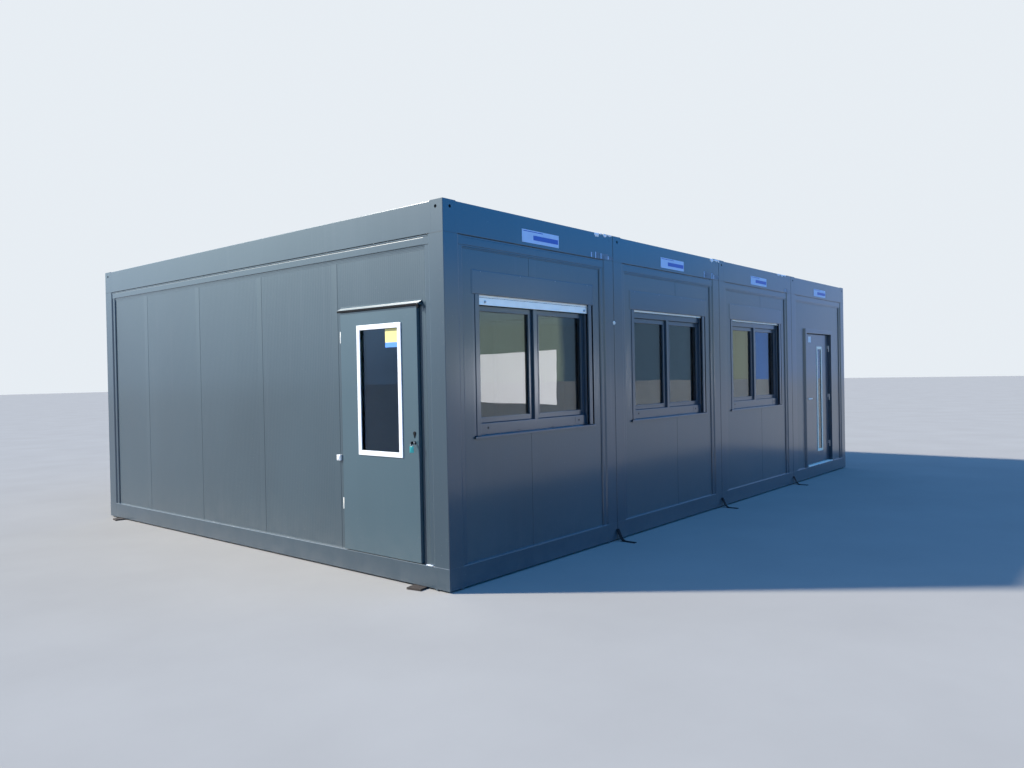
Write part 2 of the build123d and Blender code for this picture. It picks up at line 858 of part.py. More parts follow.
def door_pieces():
    """Adds both doors, their frames and fittings."""
    head_low = left_frame_head_z - left_frame_face
    jambs = [
        left_jamb(left_frame_low_y, left_frame_low_y + left_frame_face),
        left_jamb(left_frame_high_y - left_frame_face, left_frame_high_y),
    ]
    add("left_door_jambs", [at_front(item, 0) for item in jambs])
    clear0 = left_frame_low_y + left_frame_face
    clear1 = left_frame_high_y - left_frame_face
    head = block(left_frame_x, panel_back, clear0, clear1, head_low, left_frame_head_z)
    add("left_door_head", at_front(head, 0))
    sill = block(left_frame_x, panel_back, clear0, clear1, floor_z, floor_z + left_threshold_height)
    door = module_count - 1
    plate = block(front_frame_low_x + front_frame_face, front_frame_high_x - front_frame_face,
                  0, front_stop_setback, floor_z, floor_z + front_threshold_height)
    add("door_thresholds", at_front(sill, 0), at_front(plate, door))
    add("left_door_leaf", at_front(left_leaf(), 0))
    pane, beads = left_glazing()
    add("left_door_glass", at_front(pane, 0))
    add("left_door_beads", [at_front(item, 0) for item in beads])
    moving, fixed = left_hinges()
    add("left_door_hinges", moving)
    add("left_door_hinge_arms", fixed)
    add("left_door_lock", left_lock())
    add("rain_cap", at_front(rain_cap(), 0))
    half = door_catch_size / 2
    catch = block(panel_setback - door_catch_reach, panel_setback, door_catch_y - half,
                  door_catch_y + half, door_catch_z - half, door_catch_z + half)
    add("left_door_catch", at_front(catch, 0))

    jamb = front_jamb()
    middle = front_frame_low_x + front_frame_width / 2
    other = Pos(2 * middle, 0, 0) * mirror(jamb, about=Plane.YZ)
    add("front_door_jambs", at_front(jamb, door), at_front(other, door))
    head = block(front_frame_low_x + front_frame_face, front_frame_high_x - front_frame_face,
                 0, panel_back, front_frame_head_z - front_head_face, front_frame_head_z)
    add("front_door_head", at_front(head, door))
    add("front_door_leaf", at_front(front_leaf(), door))
    pane, beads = front_glazing()
    add("front_door_glass", at_front(pane, door))
    add("front_door_beads", [at_front(item, door) for item in beads])
    moving, fixed = front_hinges()
    add("front_door_hinges", moving)
    add("front_door_hinge_arms", fixed)
    add("front_door_handle", front_handle())


def window_nodes():
    """Adds the windows and their shutters."""
    frame, sashes, panes = window_pieces()
    modules = range(window_modules)
    add("window_frames", [at_front(frame, index) for index in modules])
    add("window_sashes", [at_front(item, index) for index in modules for item in sashes])
    add("window_glass", [at_front(item, index) for index in modules for item in panes])
    add("shutter_boxes", [at_front(shutter_box(), index) for index in modules])
    pair = [guide(), in_window(guide())]
    add("shutter_guides", [at_front(item, index) for index in modules for item in pair])
    add("shutter_slats", [at_front(shutter_slat(index), index) for index in modules])
    add("window_sills", [at_front(window_sill(), index) for index in modules])


def frame_nodes():
    """Adds the steel frames, floors and roofs of the modules."""
    for index in range(module_count):
        add(f"floor_frame_{index + 1}", [at_front(item, index) for item in rails(floor_section())])
        add(f"roof_frame_{index + 1}", [at_front(item, index) for item in roof_rails()])
    add("corner_posts", every_module(four_corners(corner_post())))
    add("bottom_castings", every_module(four_corners(casting(frame_z, floor_z))))
    add("top_castings", top_castings())
    add("floor_joists", every_module(floor_joists()))
    add("floor_decks", every_module([notched_panel(floor_flange, floor_z - deck_thickness, floor_z)]))
    ceiling_z = wall_top_z + sheet
    add("ceilings", every_module([notched_panel(gutter_lip, ceiling_z, ceiling_z + ceiling_thickness)]))
    add("roof_sheets", every_module([roof_sheet()]))
    add("roof_joint_caps", roof_joint_caps())
    add("joint_seals", joint_seals())
    add("base_packers", base_packers())
    add("inner_joint_covers", inner_covers())


def wall_nodes():
    """Adds the insulated wall panels."""
    add("front_side_panels", front_side_panels())
    add("front_head_panels", front_head_panels())
    add("front_sill_panels", front_sill_panels())
    add("back_wall", back_wall())
    add("left_wall", left_wall())
    add("left_wall_over_door", left_wall_over_door())
    add("right_wall", right_wall())


frame_nodes()
wall_nodes()
window_nodes()
door_pieces()
os.makedirs("parts", exist_ok=True)
for name, shape in nodes.items():
    export_step(shape, f"parts/{name}.step")
print(len(nodes), "nodes,", sum(len(shape.solids()) for shape in nodes.values()), "solids")
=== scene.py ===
import math
import random

import bmesh
import bpy
from mathutils import Matrix, Vector


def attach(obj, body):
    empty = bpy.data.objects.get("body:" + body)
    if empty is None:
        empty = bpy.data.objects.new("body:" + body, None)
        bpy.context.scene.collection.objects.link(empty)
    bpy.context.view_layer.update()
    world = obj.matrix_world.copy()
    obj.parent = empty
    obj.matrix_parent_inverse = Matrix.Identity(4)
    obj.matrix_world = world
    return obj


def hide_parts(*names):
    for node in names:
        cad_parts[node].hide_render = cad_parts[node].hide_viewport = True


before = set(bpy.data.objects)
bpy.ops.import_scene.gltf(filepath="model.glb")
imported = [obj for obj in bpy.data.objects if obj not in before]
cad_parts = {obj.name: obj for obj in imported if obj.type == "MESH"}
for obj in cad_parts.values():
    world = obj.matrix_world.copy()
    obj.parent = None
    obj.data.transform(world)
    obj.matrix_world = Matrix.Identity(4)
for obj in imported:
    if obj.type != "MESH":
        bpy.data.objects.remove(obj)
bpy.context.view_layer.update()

print("stage 1: frame loaded")

# Where the row of modules stands, in metres
cabin = {
    "modules": 4,
    "left": -4.8775,
    "front": -3.0275,
    "pitch": 2.44,
    "width": 2.435,
    "depth": 6.055,
    "floor": 0.19,
    "railBottom": 2.845,
    "postFace": 0.165,
}
cabinRight = cabin["left"] + (cabin["modules"] - 1) * cabin["pitch"] + cabin["width"]
cabinBack = cabin["front"] + cabin["depth"]


# Every wall is drawn flat, as along, into the wall and up, then stood on its side of the row
def sideMatrix(side, index=0):
    left = cabin["left"] + index * cabin["pitch"]
    rows = {
        "front": ((1, 0, 0, left), (0, 1, 0, cabin["front"])),
        "back": ((1, 0, 0, left), (0, -1, 0, cabinBack)),
        "left": ((0, 1, 0, cabin["left"]), (1, 0, 0, cabin["front"])),
        "right": ((0, -1, 0, cabinRight), (1, 0, 0, cabin["front"])),
    }
    return Matrix((*rows[side], (0, 0, 1, 0), (0, 0, 0, 1)))


def stood(part, side, index=0):
    matrix = sideMatrix(side, index)
    bmesh.ops.transform(part, matrix=matrix, verts=part.verts)
    if matrix.determinant() < 0:
        bmesh.ops.reverse_faces(part, faces=part.faces)
    return part


def join(whole, part, material=None):
    # Adds a part to a piece, in one of the piece's materials or in its own
    if material is not None:
        for face in part.faces:
            face.material_index = material
    mesh = bpy.data.meshes.new("part")
    part.to_mesh(mesh)
    part.free()
    whole.from_mesh(mesh)
    bpy.data.meshes.remove(mesh)


def inRow(part, count):
    # The same flat part on the front of each of the first modules
    whole = bmesh.new()
    for index in range(count):
        join(whole, stood(part.copy(), "front", index))
    part.free()
    return whole


# Shapes that every piece is made from
def roundEdges(part, edges, radius, steps=2):
    bmesh.ops.bevel(part, geom=list(edges), offset=radius, offset_type="OFFSET", affect="EDGES",
                    segments=steps, profile=0.5, material=-1, clamp_overlap=True)


def newVerts(result):
    return [item for item in result["geom"] if isinstance(item, bmesh.types.BMVert)]


def pullOut(part, way):
    # Pulls all the faces along a line, which leaves a closed solid
    pulled = bmesh.ops.extrude_face_region(part, geom=list(part.faces))
    bmesh.ops.translate(part, vec=way, verts=newVerts(pulled))
    bmesh.ops.recalc_face_normals(part, faces=part.faces)


def block(low, high, radius=0.0, steps=2):
    part = bmesh.new()
    bmesh.ops.create_cube(part, size=1.0)
    bmesh.ops.scale(part, vec=Vector(high) - Vector(low), verts=part.verts)
    bmesh.ops.translate(part, vec=(Vector(low) + Vector(high)) / 2, verts=part.verts)
    if radius:
        roundEdges(part, part.edges, radius, steps)
    return part


def rod(start, end, radius, sides=24, chamfer=0.0):
    part = bmesh.new()
    start, end = Vector(start), Vector(end)
    bmesh.ops.create_cone(part, cap_ends=True, segments=sides, radius1=radius, radius2=radius,
                          depth=(end - start).length)
    if chamfer:
        roundEdges(part, [e for e in part.edges if any(len(f.verts) > 4 for f in e.link_faces)], chamfer)
    turn = (end - start).to_track_quat("Z", "Y").to_matrix().to_4x4()
    bmesh.ops.transform(part, matrix=Matrix.Translation((start + end) / 2) @ turn, verts=part.verts)
    return part


def stub(u, z, start, end, radius, sides=24, chamfer=0.0):
    # A rod that stands straight out of a wall
    return rod((u, start, z), (u, end, z), radius, sides, chamfer)


def outline(corners, way, radius=0.0, steps=2):
    # A flat outline of a few corners, pulled out along a line
    part = bmesh.new()
    part.faces.new([part.verts.new(corner) for corner in corners])
    pullOut(part, way)
    if radius:
        roundEdges(part, part.edges, radius, steps)
    return part


def rim(u0, u1, z0, z1, v0, v1, bar, radius=0.0, steps=2):
    # An upright rim with an open middle
    part = bmesh.new()
    face = part.faces.new([part.verts.new((u, v0, z)) for u, z in ((u0, z0), (u1, z0), (u1, z1), (u0, z1))])
    bmesh.ops.inset_region(part, faces=[face], thickness=bar, use_boundary=True, use_even_offset=True)
    bmesh.ops.delete(part, geom=[face], context="FACES")
    pullOut(part, (0, v1 - v0, 0))
    if radius:
        roundEdges(part, [e for e in part.edges if e.calc_face_angle(0) > 0.5], radius, steps)
    return part


def mitred(u0, u1, z0, z1, v0, v1, bar, radius):
    # Four bars with mitred ends, so the corner joints show
    whole = bmesh.new()
    outer = [(u0, v0, z0), (u1, v0, z0), (u1, v0, z1), (u0, v0, z1)]
    signs = ((1, 1), (-1, 1), (-1, -1), (1, -1))
    inner = [(u + a * bar, v, z + b * bar) for (u, v, z), (a, b) in zip(outer, signs)]
    for number in range(4):
        after = (number + 1) % 4
        corners = [outer[number], outer[after], inner[after], inner[number]]
        join(whole, outline(corners, (0, v1 - v0, 0), radius))
    return whole


# CAD nodes, as meshes to dress or to measure
def nodePart(node):
    part = bmesh.new()
    part.from_mesh(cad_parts[node].data)
    bmesh.ops.remove_doubles(part, verts=part.verts, dist=0.00002)
    bmesh.ops.dissolve_limit(part, angle_limit=math.radians(1), verts=part.verts, edges=part.edges)
    for face in part.faces:
        face.smooth = False
        face.material_index = 0
    for edge in part.edges:
        edge.smooth = True
    return part


def faceWidth(edge):
    return min(face.calc_area() for face in edge.link_faces) / edge.calc_length()


def softened(node, fold, edge, steps):
    # A copy of a CAD node with its long folds rounded and its other edges broken
    part = nodePart(node)
    if fold:
        folds = [e for e in part.edges if len(e.link_faces) == 2 and e.is_convex and e.calc_length() > 0.2
                 and e.calc_face_angle() > 0.5 and faceWidth(e) > 2.5 * fold]
        roundEdges(part, folds, fold, steps)
    if edge:
        sharp = [e for e in part.edges if len(e.link_faces) == 2 and e.calc_face_angle() > 0.9
                 and e.calc_length() > 0.012]
        roundEdges(part, sharp, edge, 1)
    return part


def solidBoxes(node):
    # The lowest and highest corner of each separate solid in a CAD node
    part = nodePart(node)
    waiting = set(part.verts)
    boxes = []
    while waiting:
        found = [waiting.pop()]
        for vert in found:
            for edge in vert.link_edges:
                other = edge.other_vert(vert)
                if other in waiting:
                    waiting.remove(other)
                    found.append(other)
        corners = [[f(v.co[axis] for v in found) for axis in range(3)] for f in (min, max)]
        boxes.append((Vector(corners[0]), Vector(corners[1])))
    part.free()
    return boxes


def finished(name, part, materials, body="root", nodes=(), smoothAngle=0.0):
    if smoothAngle:
        for face in part.faces:
            face.smooth = True
        for edge in part.edges:
            edge.smooth = edge.calc_face_angle(0.0) < smoothAngle
    mesh = bpy.data.meshes.new(name)
    part.to_mesh(mesh)
    part.free()
    if "custom_normal" in mesh.attributes:
        mesh.attributes.remove(mesh.attributes["custom_normal"])
    for material in materials:
        mesh.materials.append(material)
    piece = bpy.data.objects.new(name, mesh)
    bpy.context.scene.collection.objects.link(piece)
    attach(piece, body)
    if nodes:
        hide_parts(*nodes)


def dressed(node, name, material, fold=0.003, edge=0.001, steps=2, body="root"):
    # A CAD node with softer edges and its own finish
    finished(name, softened(node, fold, edge, steps), [material], body, [node])


# Shader helpers
def put(tree, kind, inputs=None, **settings):
    node = tree.nodes.new(kind)
    for key, value in settings.items():
        setattr(node, key, value)
    for key, value in (inputs or {}).items():
        if isinstance(value, bpy.types.NodeSocket):
            tree.links.new(value, node.inputs[key])
        else:
            node.inputs[key].default_value = value
    return node


def blend(tree, factor, first, second):
    return put(tree, "ShaderNodeMix", {0: factor, 6: first, 7: second}, data_type="RGBA").outputs[2]


def sums(tree, kind, first, second, clamp=True):
    return put(tree, "ShaderNodeMath", {0: first, 1: second}, operation=kind, use_clamp=clamp).outputs[0]


def times(tree, first, second):
    return sums(tree, "MULTIPLY", first, second)


def spread(tree, value, low, high, toLow=0.0, toHigh=1.0):
    return put(tree, "ShaderNodeMapRange", {0: value, 1: low, 2: high, 3: toLow, 4: toHigh}).outputs[0]


def vectorSum(tree, kind, first, second):
    return put(tree, "ShaderNodeVectorMath", {0: first, 1: second}, operation=kind).outputs


def solid(colour, share=1.0):
    return (*(channel * share for channel in colour), 1)


def stretched(tree, scale=(1, 1, 1)):
    place = tree.nodes.new("ShaderNodeTexCoord").outputs["Object"]
    return put(tree, "ShaderNodeMapping", {"Vector": place, "Scale": scale}).outputs[0]


def noise(tree, place, scale, detail=4.0, roughness=0.55):
    inputs = {"Vector": place, "Scale": scale, "Detail": detail, "Roughness": roughness}
    return put(tree, "ShaderNodeTexNoise", inputs).outputs["Fac"]


def newGroup(name, inputs, outputs):
    tree = bpy.data.node_groups.new(name, "ShaderNodeTree")
    for label, value in inputs.items():
        tree.interface.new_socket(label, in_out="INPUT", socket_type="NodeSocketFloat").default_value = value
    for label in outputs:
        tree.interface.new_socket(label, in_out="OUTPUT", socket_type="NodeSocketFloat")
    return tree, tree.nodes.new("NodeGroupInput").outputs, tree.nodes.new("NodeGroupOutput").inputs


# Dust on the lower walls, and rain marks running down from the rails
def makeWeather():
    inputs = {"Dust Top": 0.5, "Dust": 0.5, "Rain": 0.5}
    tree, given, out = newGroup("dustAndRain", inputs, ("Dust", "Rain", "Patch"))
    place = tree.nodes.new("ShaderNodeTexCoord").outputs["Object"]
    height = put(tree, "ShaderNodeSeparateXYZ", {0: place}).outputs[2]
    low = spread(tree, height, 0.0, given["Dust Top"], 1.0, 0.0)
    broken = spread(tree, noise(tree, stretched(tree), 7.0, 6.0, 0.65), 0.35, 0.75)
    thick = times(tree, sums(tree, "POWER", low, 1.6, False), sums(tree, "ADD", broken, 0.35))
    tree.links.new(times(tree, thick, given["Dust"]), out["Dust"])
    runs = noise(tree, stretched(tree, (16, 16, 0.5)), 1.0, 5.0, 0.6)
    wide = noise(tree, stretched(tree, (1, 1, 0.4)), 1.3, 2.0)
    run = times(tree, spread(tree, runs, 0.52, 0.8), spread(tree, wide, 0.4, 0.65))
    tree.links.new(times(tree, run, given["Rain"]), out["Rain"])
    tree.links.new(noise(tree, stretched(tree, (1, 1, 0.6)), 0.9, 3.0), out["Patch"])
    return tree


# Thin paint on corners and folds
def makeWear():
    tree, given, out = newGroup("wornEdges", {"Width": 0.004, "Amount": 0.5}, ("Wear",))
    soft = put(tree, "ShaderNodeBevel", {"Radius": given["Width"]}, samples=4).outputs[0]
    flat = tree.nodes.new("ShaderNodeNewGeometry").outputs["Normal"]
    same = vectorSum(tree, "DOT_PRODUCT", soft, flat)["Value"]
    edge = spread(tree, sums(tree, "SUBTRACT", 1.0, same), 0.01, 0.2)
    chips = spread(tree, noise(tree, stretched(tree), 38.0, 5.0, 0.7), 0.45, 0.62)
    worn = times(tree, edge, sums(tree, "ADD", chips, 0.2))
    tree.links.new(times(tree, worn, given["Amount"]), out["Wear"])
    return tree


# The slight waves of thin steel sheet, with the grain of its coat
def makeSheet():
    tree, given, out = newGroup("sheetWaves", {"Wave": 1.0, "Grain": 0.1}, ("Height",))
    waves = times(tree, noise(tree, stretched(tree, (1, 1, 0.55)), 1.6, 1.0), given["Wave"])
    grain = times(tree, noise(tree, stretched(tree), 420.0, 2.0), given["Grain"])
    tree.links.new(sums(tree, "ADD", waves, grain), out["Height"])
    return tree


# Fine lines drawn along a rolled or brushed metal piece
def makeDrawn():
    tree, given, out = newGroup("drawnLines", {"Across": 900.0, "Along": 6.0}, ("Line",))
    place = tree.nodes.new("ShaderNodeTexCoord").outputs["Object"]
    ways = {0: given["Along"], 1: given["Across"], 2: given["Across"]}
    scale = put(tree, "ShaderNodeCombineXYZ", ways).outputs[0]
    tree.links.new(noise(tree, vectorSum(tree, "MULTIPLY", place, scale)[0], 1.0, 3.0), out["Line"])
    return tree


# Small specks of dirt and splashes
def makeSpecks():
    tree, given, out = newGroup("dirtSpecks", {"Size": 60.0, "Amount": 0.5}, ("Specks",))
    cells = put(tree, "ShaderNodeTexVoronoi", {"Vector": stretched(tree), "Scale": given["Size"]})
    near = spread(tree, cells.outputs["Distance"], 0.16, 0.05)
    some = spread(tree, noise(tree, stretched(tree), 5.0, 3.0), 0.5, 0.62)
    tree.links.new(times(tree, times(tree, near, some), given["Amount"]), out["Specks"])
    return tree


groups = {
    "weather": makeWeather(),
    "wear": makeWear(),
    "sheet": makeSheet(),
    "drawn": makeDrawn(),
    "specks": makeSpecks(),
}


def effect(tree, name, values):
    return put(tree, "ShaderNodeGroup", values, node_tree=groups[name]).outputs


def newMaterial(name, **sockets):
    material = bpy.data.materials.new(name)
    material.use_nodes = True
    tree = material.node_tree
    shader = tree.nodes["Principled BSDF"]
    for label, value in sockets.items():
        shader.inputs[label.replace("_", " ")].default_value = value
    return material, tree, shader


def dress(tree, shader, tone, rough, height, distance, strength):
    # The colour, roughness and fine bumps of a finish
    bump = put(tree, "ShaderNodeBump", {"Height": height, "Distance": distance, "Strength": strength})
    for label, value in (("Base Color", tone), ("Roughness", rough), ("Normal", bump.outputs[0])):
        tree.links.new(value, shader.inputs[label])


# Anthracite coats. Colours are linear red, green, blue
paintValues = {
    "rail": {"colour": (0.018, 0.044, 0.063), "rough": 0.34, "wave": 0.35,
             "dust": 0.22, "dustTop": 0.30, "rain": 0.22, "wear": 0.4},
    "panel": {"colour": (0.019, 0.046, 0.061), "rough": 0.38, "wave": 1.0,
              "dust": 0.22, "dustTop": 0.7, "rain": 0.2, "wear": 0.0},
    # The door coat is the rails' anthracite made lighter; the extra lightness paints the sheen of the left
    # door and rain cap in the key light
    "door": {"colour": (0.034, 0.076, 0.094), "rough": 0.36, "wave": 0.7,
             "dust": 0.2, "dustTop": 0.6, "rain": 0.15, "wear": 0.3},
    "window": {"colour": (0.016, 0.044, 0.068), "rough": 0.30, "wave": 0.1,
               "dust": 0.0, "dustTop": 0.5, "rain": 0.1, "wear": 0.2},
}
dustTone = (0.20, 0.20, 0.19)
rainTone = (0.075, 0.092, 0.108)
wearTone = (0.13, 0.16, 0.185)


def paint(name, values):
    material, tree, shader = newMaterial(name, Coat_Weight=0.9, Coat_Roughness=0.14, Coat_IOR=1.65)
    amounts = {"Dust Top": values["dustTop"], "Dust": values["dust"], "Rain": values["rain"]}
    weather = effect(tree, "weather", amounts)
    specks = effect(tree, "specks", {"Size": 34.0, "Amount": 0.3})["Specks"]
    patch = spread(tree, weather["Patch"], 0.35, 0.65)
    tone = blend(tree, patch, solid(values["colour"], 0.86), solid(values["colour"]))
    for mask, mark in ((weather["Rain"], rainTone), (specks, dustTone), (weather["Dust"], dustTone)):
        tone = blend(tree, mask, tone, solid(mark))
    if values["wear"]:
        worn = effect(tree, "wear", {"Width": 0.004, "Amount": values["wear"]})["Wear"]
        tone = blend(tree, worn, tone, solid(wearTone))
    rough = spread(tree, weather["Dust"], 0.0, 0.6, values["rough"], 0.75)
    rough = sums(tree, "ADD", rough, spread(tree, weather["Patch"], 0.3, 0.7, 0.0, 0.06))
    height = effect(tree, "sheet", {"Wave": values["wave"], "Grain": 0.02})["Height"]
    dress(tree, shader, tone, rough, height, 0.004, 0.5)
    return material


def plainCoat(name, colour, rough, metal=0.0, drawn=0.0, specks=0.3, mottle=0.12, **sockets):
    # A coated, moulded or metal finish with its own mottling, lines and specks
    material, tree, shader = newMaterial(name, Metallic=metal, **sockets)
    patch = noise(tree, stretched(tree), 11.0, 5.0)
    tone = blend(tree, spread(tree, patch, 0.3, 0.7), solid(colour, 1 - 2 * mottle), solid(colour))
    marks = effect(tree, "specks", {"Size": 55.0, "Amount": specks})["Specks"]
    tone = blend(tree, marks, tone, solid(colour, 0.45))
    lines = effect(tree, "drawn", {"Across": 700.0, "Along": 5.0})["Line"]
    uneven = spread(tree, lines if drawn else patch, 0.2, 0.8, rough - 0.07, rough + 0.07)
    height = lines if drawn else noise(tree, stretched(tree), 260.0, 3.0)
    dress(tree, shader, tone, uneven, height, 0.0004, 0.35 + drawn)
    return material


def boardMaterial(name, light, dark, scale):
    material, tree, shader = newMaterial(name)
    grain = noise(tree, stretched(tree, scale), 1.0, 6.0, 0.7)
    wave = {"Vector": stretched(tree), "Scale": 70.0, "Distortion": 1.5}
    layers = put(tree, "ShaderNodeTexWave", wave, bands_direction="Z").outputs["Fac"]
    tone = blend(tree, spread(tree, grain, 0.3, 0.7), solid(dark), solid(light))
    tone = blend(tree, times(tree, layers, 0.35), tone, solid(dark))
    dress(tree, shader, tone, spread(tree, grain, 0.2, 0.8, 0.65, 0.9), grain, 0.002, 0.6)
    return material


def glassMaterial(name, tint, index, sheen=(1.0, 1.0, 1.0)):
    material, tree, shader = newMaterial(name, Transmission_Weight=1.0, IOR=index, Metallic=0.0,
                                         Specular_Tint=solid(sheen))
    film = spread(tree, noise(tree, stretched(tree, (1, 1, 0.5)), 3.0, 5.0), 0.45, 0.8)
    tone = blend(tree, film, solid(tint), solid(tint, 0.9))
    ripple = noise(tree, stretched(tree), 2.2, 1.0)
    dress(tree, shader, tone, spread(tree, film, 0.0, 1.0, 0.0, 0.03), ripple, 0.002, 0.15)
    return material


railPaint = paint("anthraciteRail", paintValues["rail"])
panelPaint = paint("anthracitePanel", paintValues["panel"])
# Lighter copy of the anthracite: painted sheen on the left door and rain cap
doorSheenPaint = paint("anthraciteDoorSheen", paintValues["door"])
windowPaint = paint("anthraciteWindow", paintValues["window"])
trimPaint = paint("anthraciteTrim", dict(paintValues["rail"], wear=0.0))
windowGlass = glassMaterial("windowGlass", (0.42, 0.50, 0.52), 1.75)
doorGlass = glassMaterial("doorGlass", (0.40, 0.52, 0.60), 1.42, (0.72, 0.95, 1.3))
silverMetal = plainCoat("silverAnodised", (1.0, 0.95, 0.84), 0.34, 0.1, drawn=0.1, specks=0.1, mottle=0.04)
steelMetal = plainCoat("brushedSteel", (0.55, 0.56, 0.57), 0.30, metal=0.95, drawn=0.3, specks=0.2)
zincMetal = plainCoat("galvanisedSteel", (0.38, 0.40, 0.42), 0.58, metal=0.5, mottle=0.09)
whiteBead = plainCoat("whiteBead", (0.82, 0.83, 0.83), 0.38, specks=0.2, mottle=0.03, Coat_Weight=0.15)
# A warmer copy of the white bead for the front door, whose beads stand in shade; its warmth paints out the
# blue of that shade
shadeWarmedBead = plainCoat("shadeWarmedBead", (0.98, 0.88, 0.70), 0.38, specks=0.2, mottle=0.03)
liningWhite = plainCoat("liningWhite", (0.62, 0.63, 0.62), 0.5, specks=0.1, mottle=0.03)
blackRubber = plainCoat("blackRubber", (0.007, 0.008, 0.010), 0.6, specks=0.1, mottle=0.2,
                        Specular_IOR_Level=0.1)
darkPlastic = plainCoat("darkPlastic", (0.022, 0.026, 0.030), 0.42, specks=0.1)
greyPlastic = plainCoat("greyPlastic", (0.20, 0.23, 0.26), 0.5, specks=0.2)
whitePlastic = plainCoat("whitePlastic", (0.76, 0.76, 0.74), 0.45, specks=0.3, mottle=0.04)
sealantPaste = plainCoat("sealantPaste", (0.78, 0.82, 0.86), 0.5, specks=0.2, mottle=0.08)
jointTape = plainCoat("jointTape", (0.12, 0.17, 0.23), 0.3, specks=0.2, mottle=0.25)
floorVinyl = plainCoat("greyVinyl", (0.16, 0.17, 0.18), 0.4, specks=0.8, mottle=0.15)
packerBoard = boardMaterial("packerBoard", (0.060, 0.040, 0.028), (0.022, 0.017, 0.014), (40, 4, 220))
plateWhite = plainCoat("plateWhite", (0.44, 0.58, 0.80), 0.35, specks=0.2, mottle=0.05)
plateBlue = plainCoat("plateBlue", (0.03, 0.10, 0.45), 0.35, specks=0.1, mottle=0.06)
labelYellow = plainCoat("labelYellow", (0.80, 0.70, 0.26), 0.45, specks=0.1, mottle=0.05)
labelBlue = plainCoat("labelBlue", (0.10, 0.30, 0.80), 0.45, specks=0.1, mottle=0.05)
tagGreen = plainCoat("tagTurquoise", (0.06, 0.58, 0.48), 0.4, specks=0.1)
print("stage 2: finishes ready")

# Steel frames. The folds of the rolled sheet are rounder than the cut edges
frameLook = {"fold": 0.005, "cut": 0.0008, "steps": 3}


def makeFrames():
    fold, cut, steps = frameLook["fold"], frameLook["cut"], frameLook["steps"]
    for number in range(1, cabin["modules"] + 1):
        dressed(f"roof_frame_{number}", f"roofRails{number}", railPaint, fold, 0, steps)
        dressed(f"floor_frame_{number}", f"floorRails{number}", railPaint, fold, cut, steps)
    dressed("corner_posts", "cornerPosts", railPaint, fold, cut, steps)
    dressed("bottom_castings", "bottomCastings", railPaint, fold, cut, steps)
    dressed("top_castings", "topCastings", railPaint, fold, 0, steps)


# A black cup behind each lifting hole, which paints the shade inside the casting, and a flush plug in the
# holes left of the joints
holeLook = {"inset": 0.08, "height": 3.05, "radius": 0.014, "plate": 0.008, "shadeCup": 0.020}


def makeHoleShadeCups():
    inset, z, plate = holeLook["inset"], holeLook["height"], holeLook["plate"]
    spots = [(side, index, u) for index in range(cabin["modules"]) for u in (inset, cabin["width"] - inset)
             for side in ("front", "back")]
    spots += [(side, 0, y) for side in ("left", "right") for y in (inset, cabin["depth"] - inset)]
    shadeCups = bmesh.new()
    for side, index, u in spots:
        join(shadeCups, stood(stub(u, z, plate + 0.0004, plate + 0.006, holeLook["shadeCup"], 24, 0.001), side, index))
    finished("liftingHoleShadeCups", shadeCups, [blackRubber])
    plug = stub(cabin["width"] - inset, z, 0.0008, plate - 0.0005, holeLook["radius"] - 0.0004, 24, 0.0012)
    finished("liftingHolePlugs", inRow(plug, cabin["modules"] - 1), [railPaint])


# Joint lines on the posts and a painted highlight on the left post's floor ledge, covers on the blocks'
# joints, and fillers in the groove and under the strip.
# The steps and the lip are depths and heights, and an end wall has its own
seamLook = {
    "line": 0.0015, "block": 0.15, "cover": 0.012, "groove": 2.8405, "endGroove": 2.8335,
    "steps": ((0.012, 2.7535, 2.7670), (0.019, 2.7430, 2.7540)),
    "endSteps": ((0.0175, 2.7530, 2.7670), (0.0212, 2.7420, 2.7535), (0.0236, 2.7310, 2.7425)),
    "lip": ((0.0084, 2.8290), (0.0050, 2.8320), (0.0050, 2.8402), (0.0095, 2.8440), (0.018, 2.8440),
            (0.018, 2.8290)),
}


def makeSeams():
    seams = bmesh.new()
    fillers = bmesh.new()
    line, cover = seamLook["line"], seamLook["cover"]
    face, floor, z = cabin["postFace"], cabin["floor"], cabin["railBottom"]
    runs = [(side, index, cabin["width"]) for side in ("front", "back") for index in range(cabin["modules"])]
    runs += [("left", 0, cabin["depth"]), ("right", 0, cabin["depth"])]
    for side, index, length in runs:
        atEnd = side in ("left", "right")
        top = seamLook["endGroove" if atEnd else "groove"]
        flat = bmesh.new()
        if side != "back":
            for start, end in ((0.004, face), (length - face, length - 0.004)):
                join(seams, stood(block((start, -0.0003, z - line), (end, 0.0008, z + line)), side, index))
            for u in (seamLook["block"], length - seamLook["block"]):
                for low, high in ((z + line, 3.095), (0.005, floor - 0.006)):
                    join(flat, block((u - cover, -0.0003, low), (u + cover, 0.003, high), 0.0002, 1))
        for start in (face + 0.001, length - face - 0.071):
            join(flat, block((start, 0.0079, 2.7655), (start + 0.070, 0.014, top), 0.0004, 1))
        for v, low, high in seamLook["endSteps" if atEnd else "steps"]:
            join(flat, block((face + 0.05, v, low), (length - face - 0.05, 0.034, high), 0.0008, 1))
        join(flat, block((face, 0.0084, 2.8262), (length - face, 0.018, top), 0.0006, 1))
        if atEnd:
            join(flat, outline([(face, *corner) for corner in seamLook["lip"]], (length - 2 * face, 0, 0)))
        join(fillers, stood(flat, side, index))
    # A grey line across the left corner post at the floor ledge: a painted highlight where the ledge's edge
    # catches the key light
    join(seams, stood(block((0.004, -0.0006, floor - 0.0015), (face, 0.0005, floor + 0.002)), "left"), 1)
    finished("frameSeamsAndLedgeHighlight", seams, [darkPlastic, greyPlastic])
    finished("grooveFillers", fillers, [trimPaint])


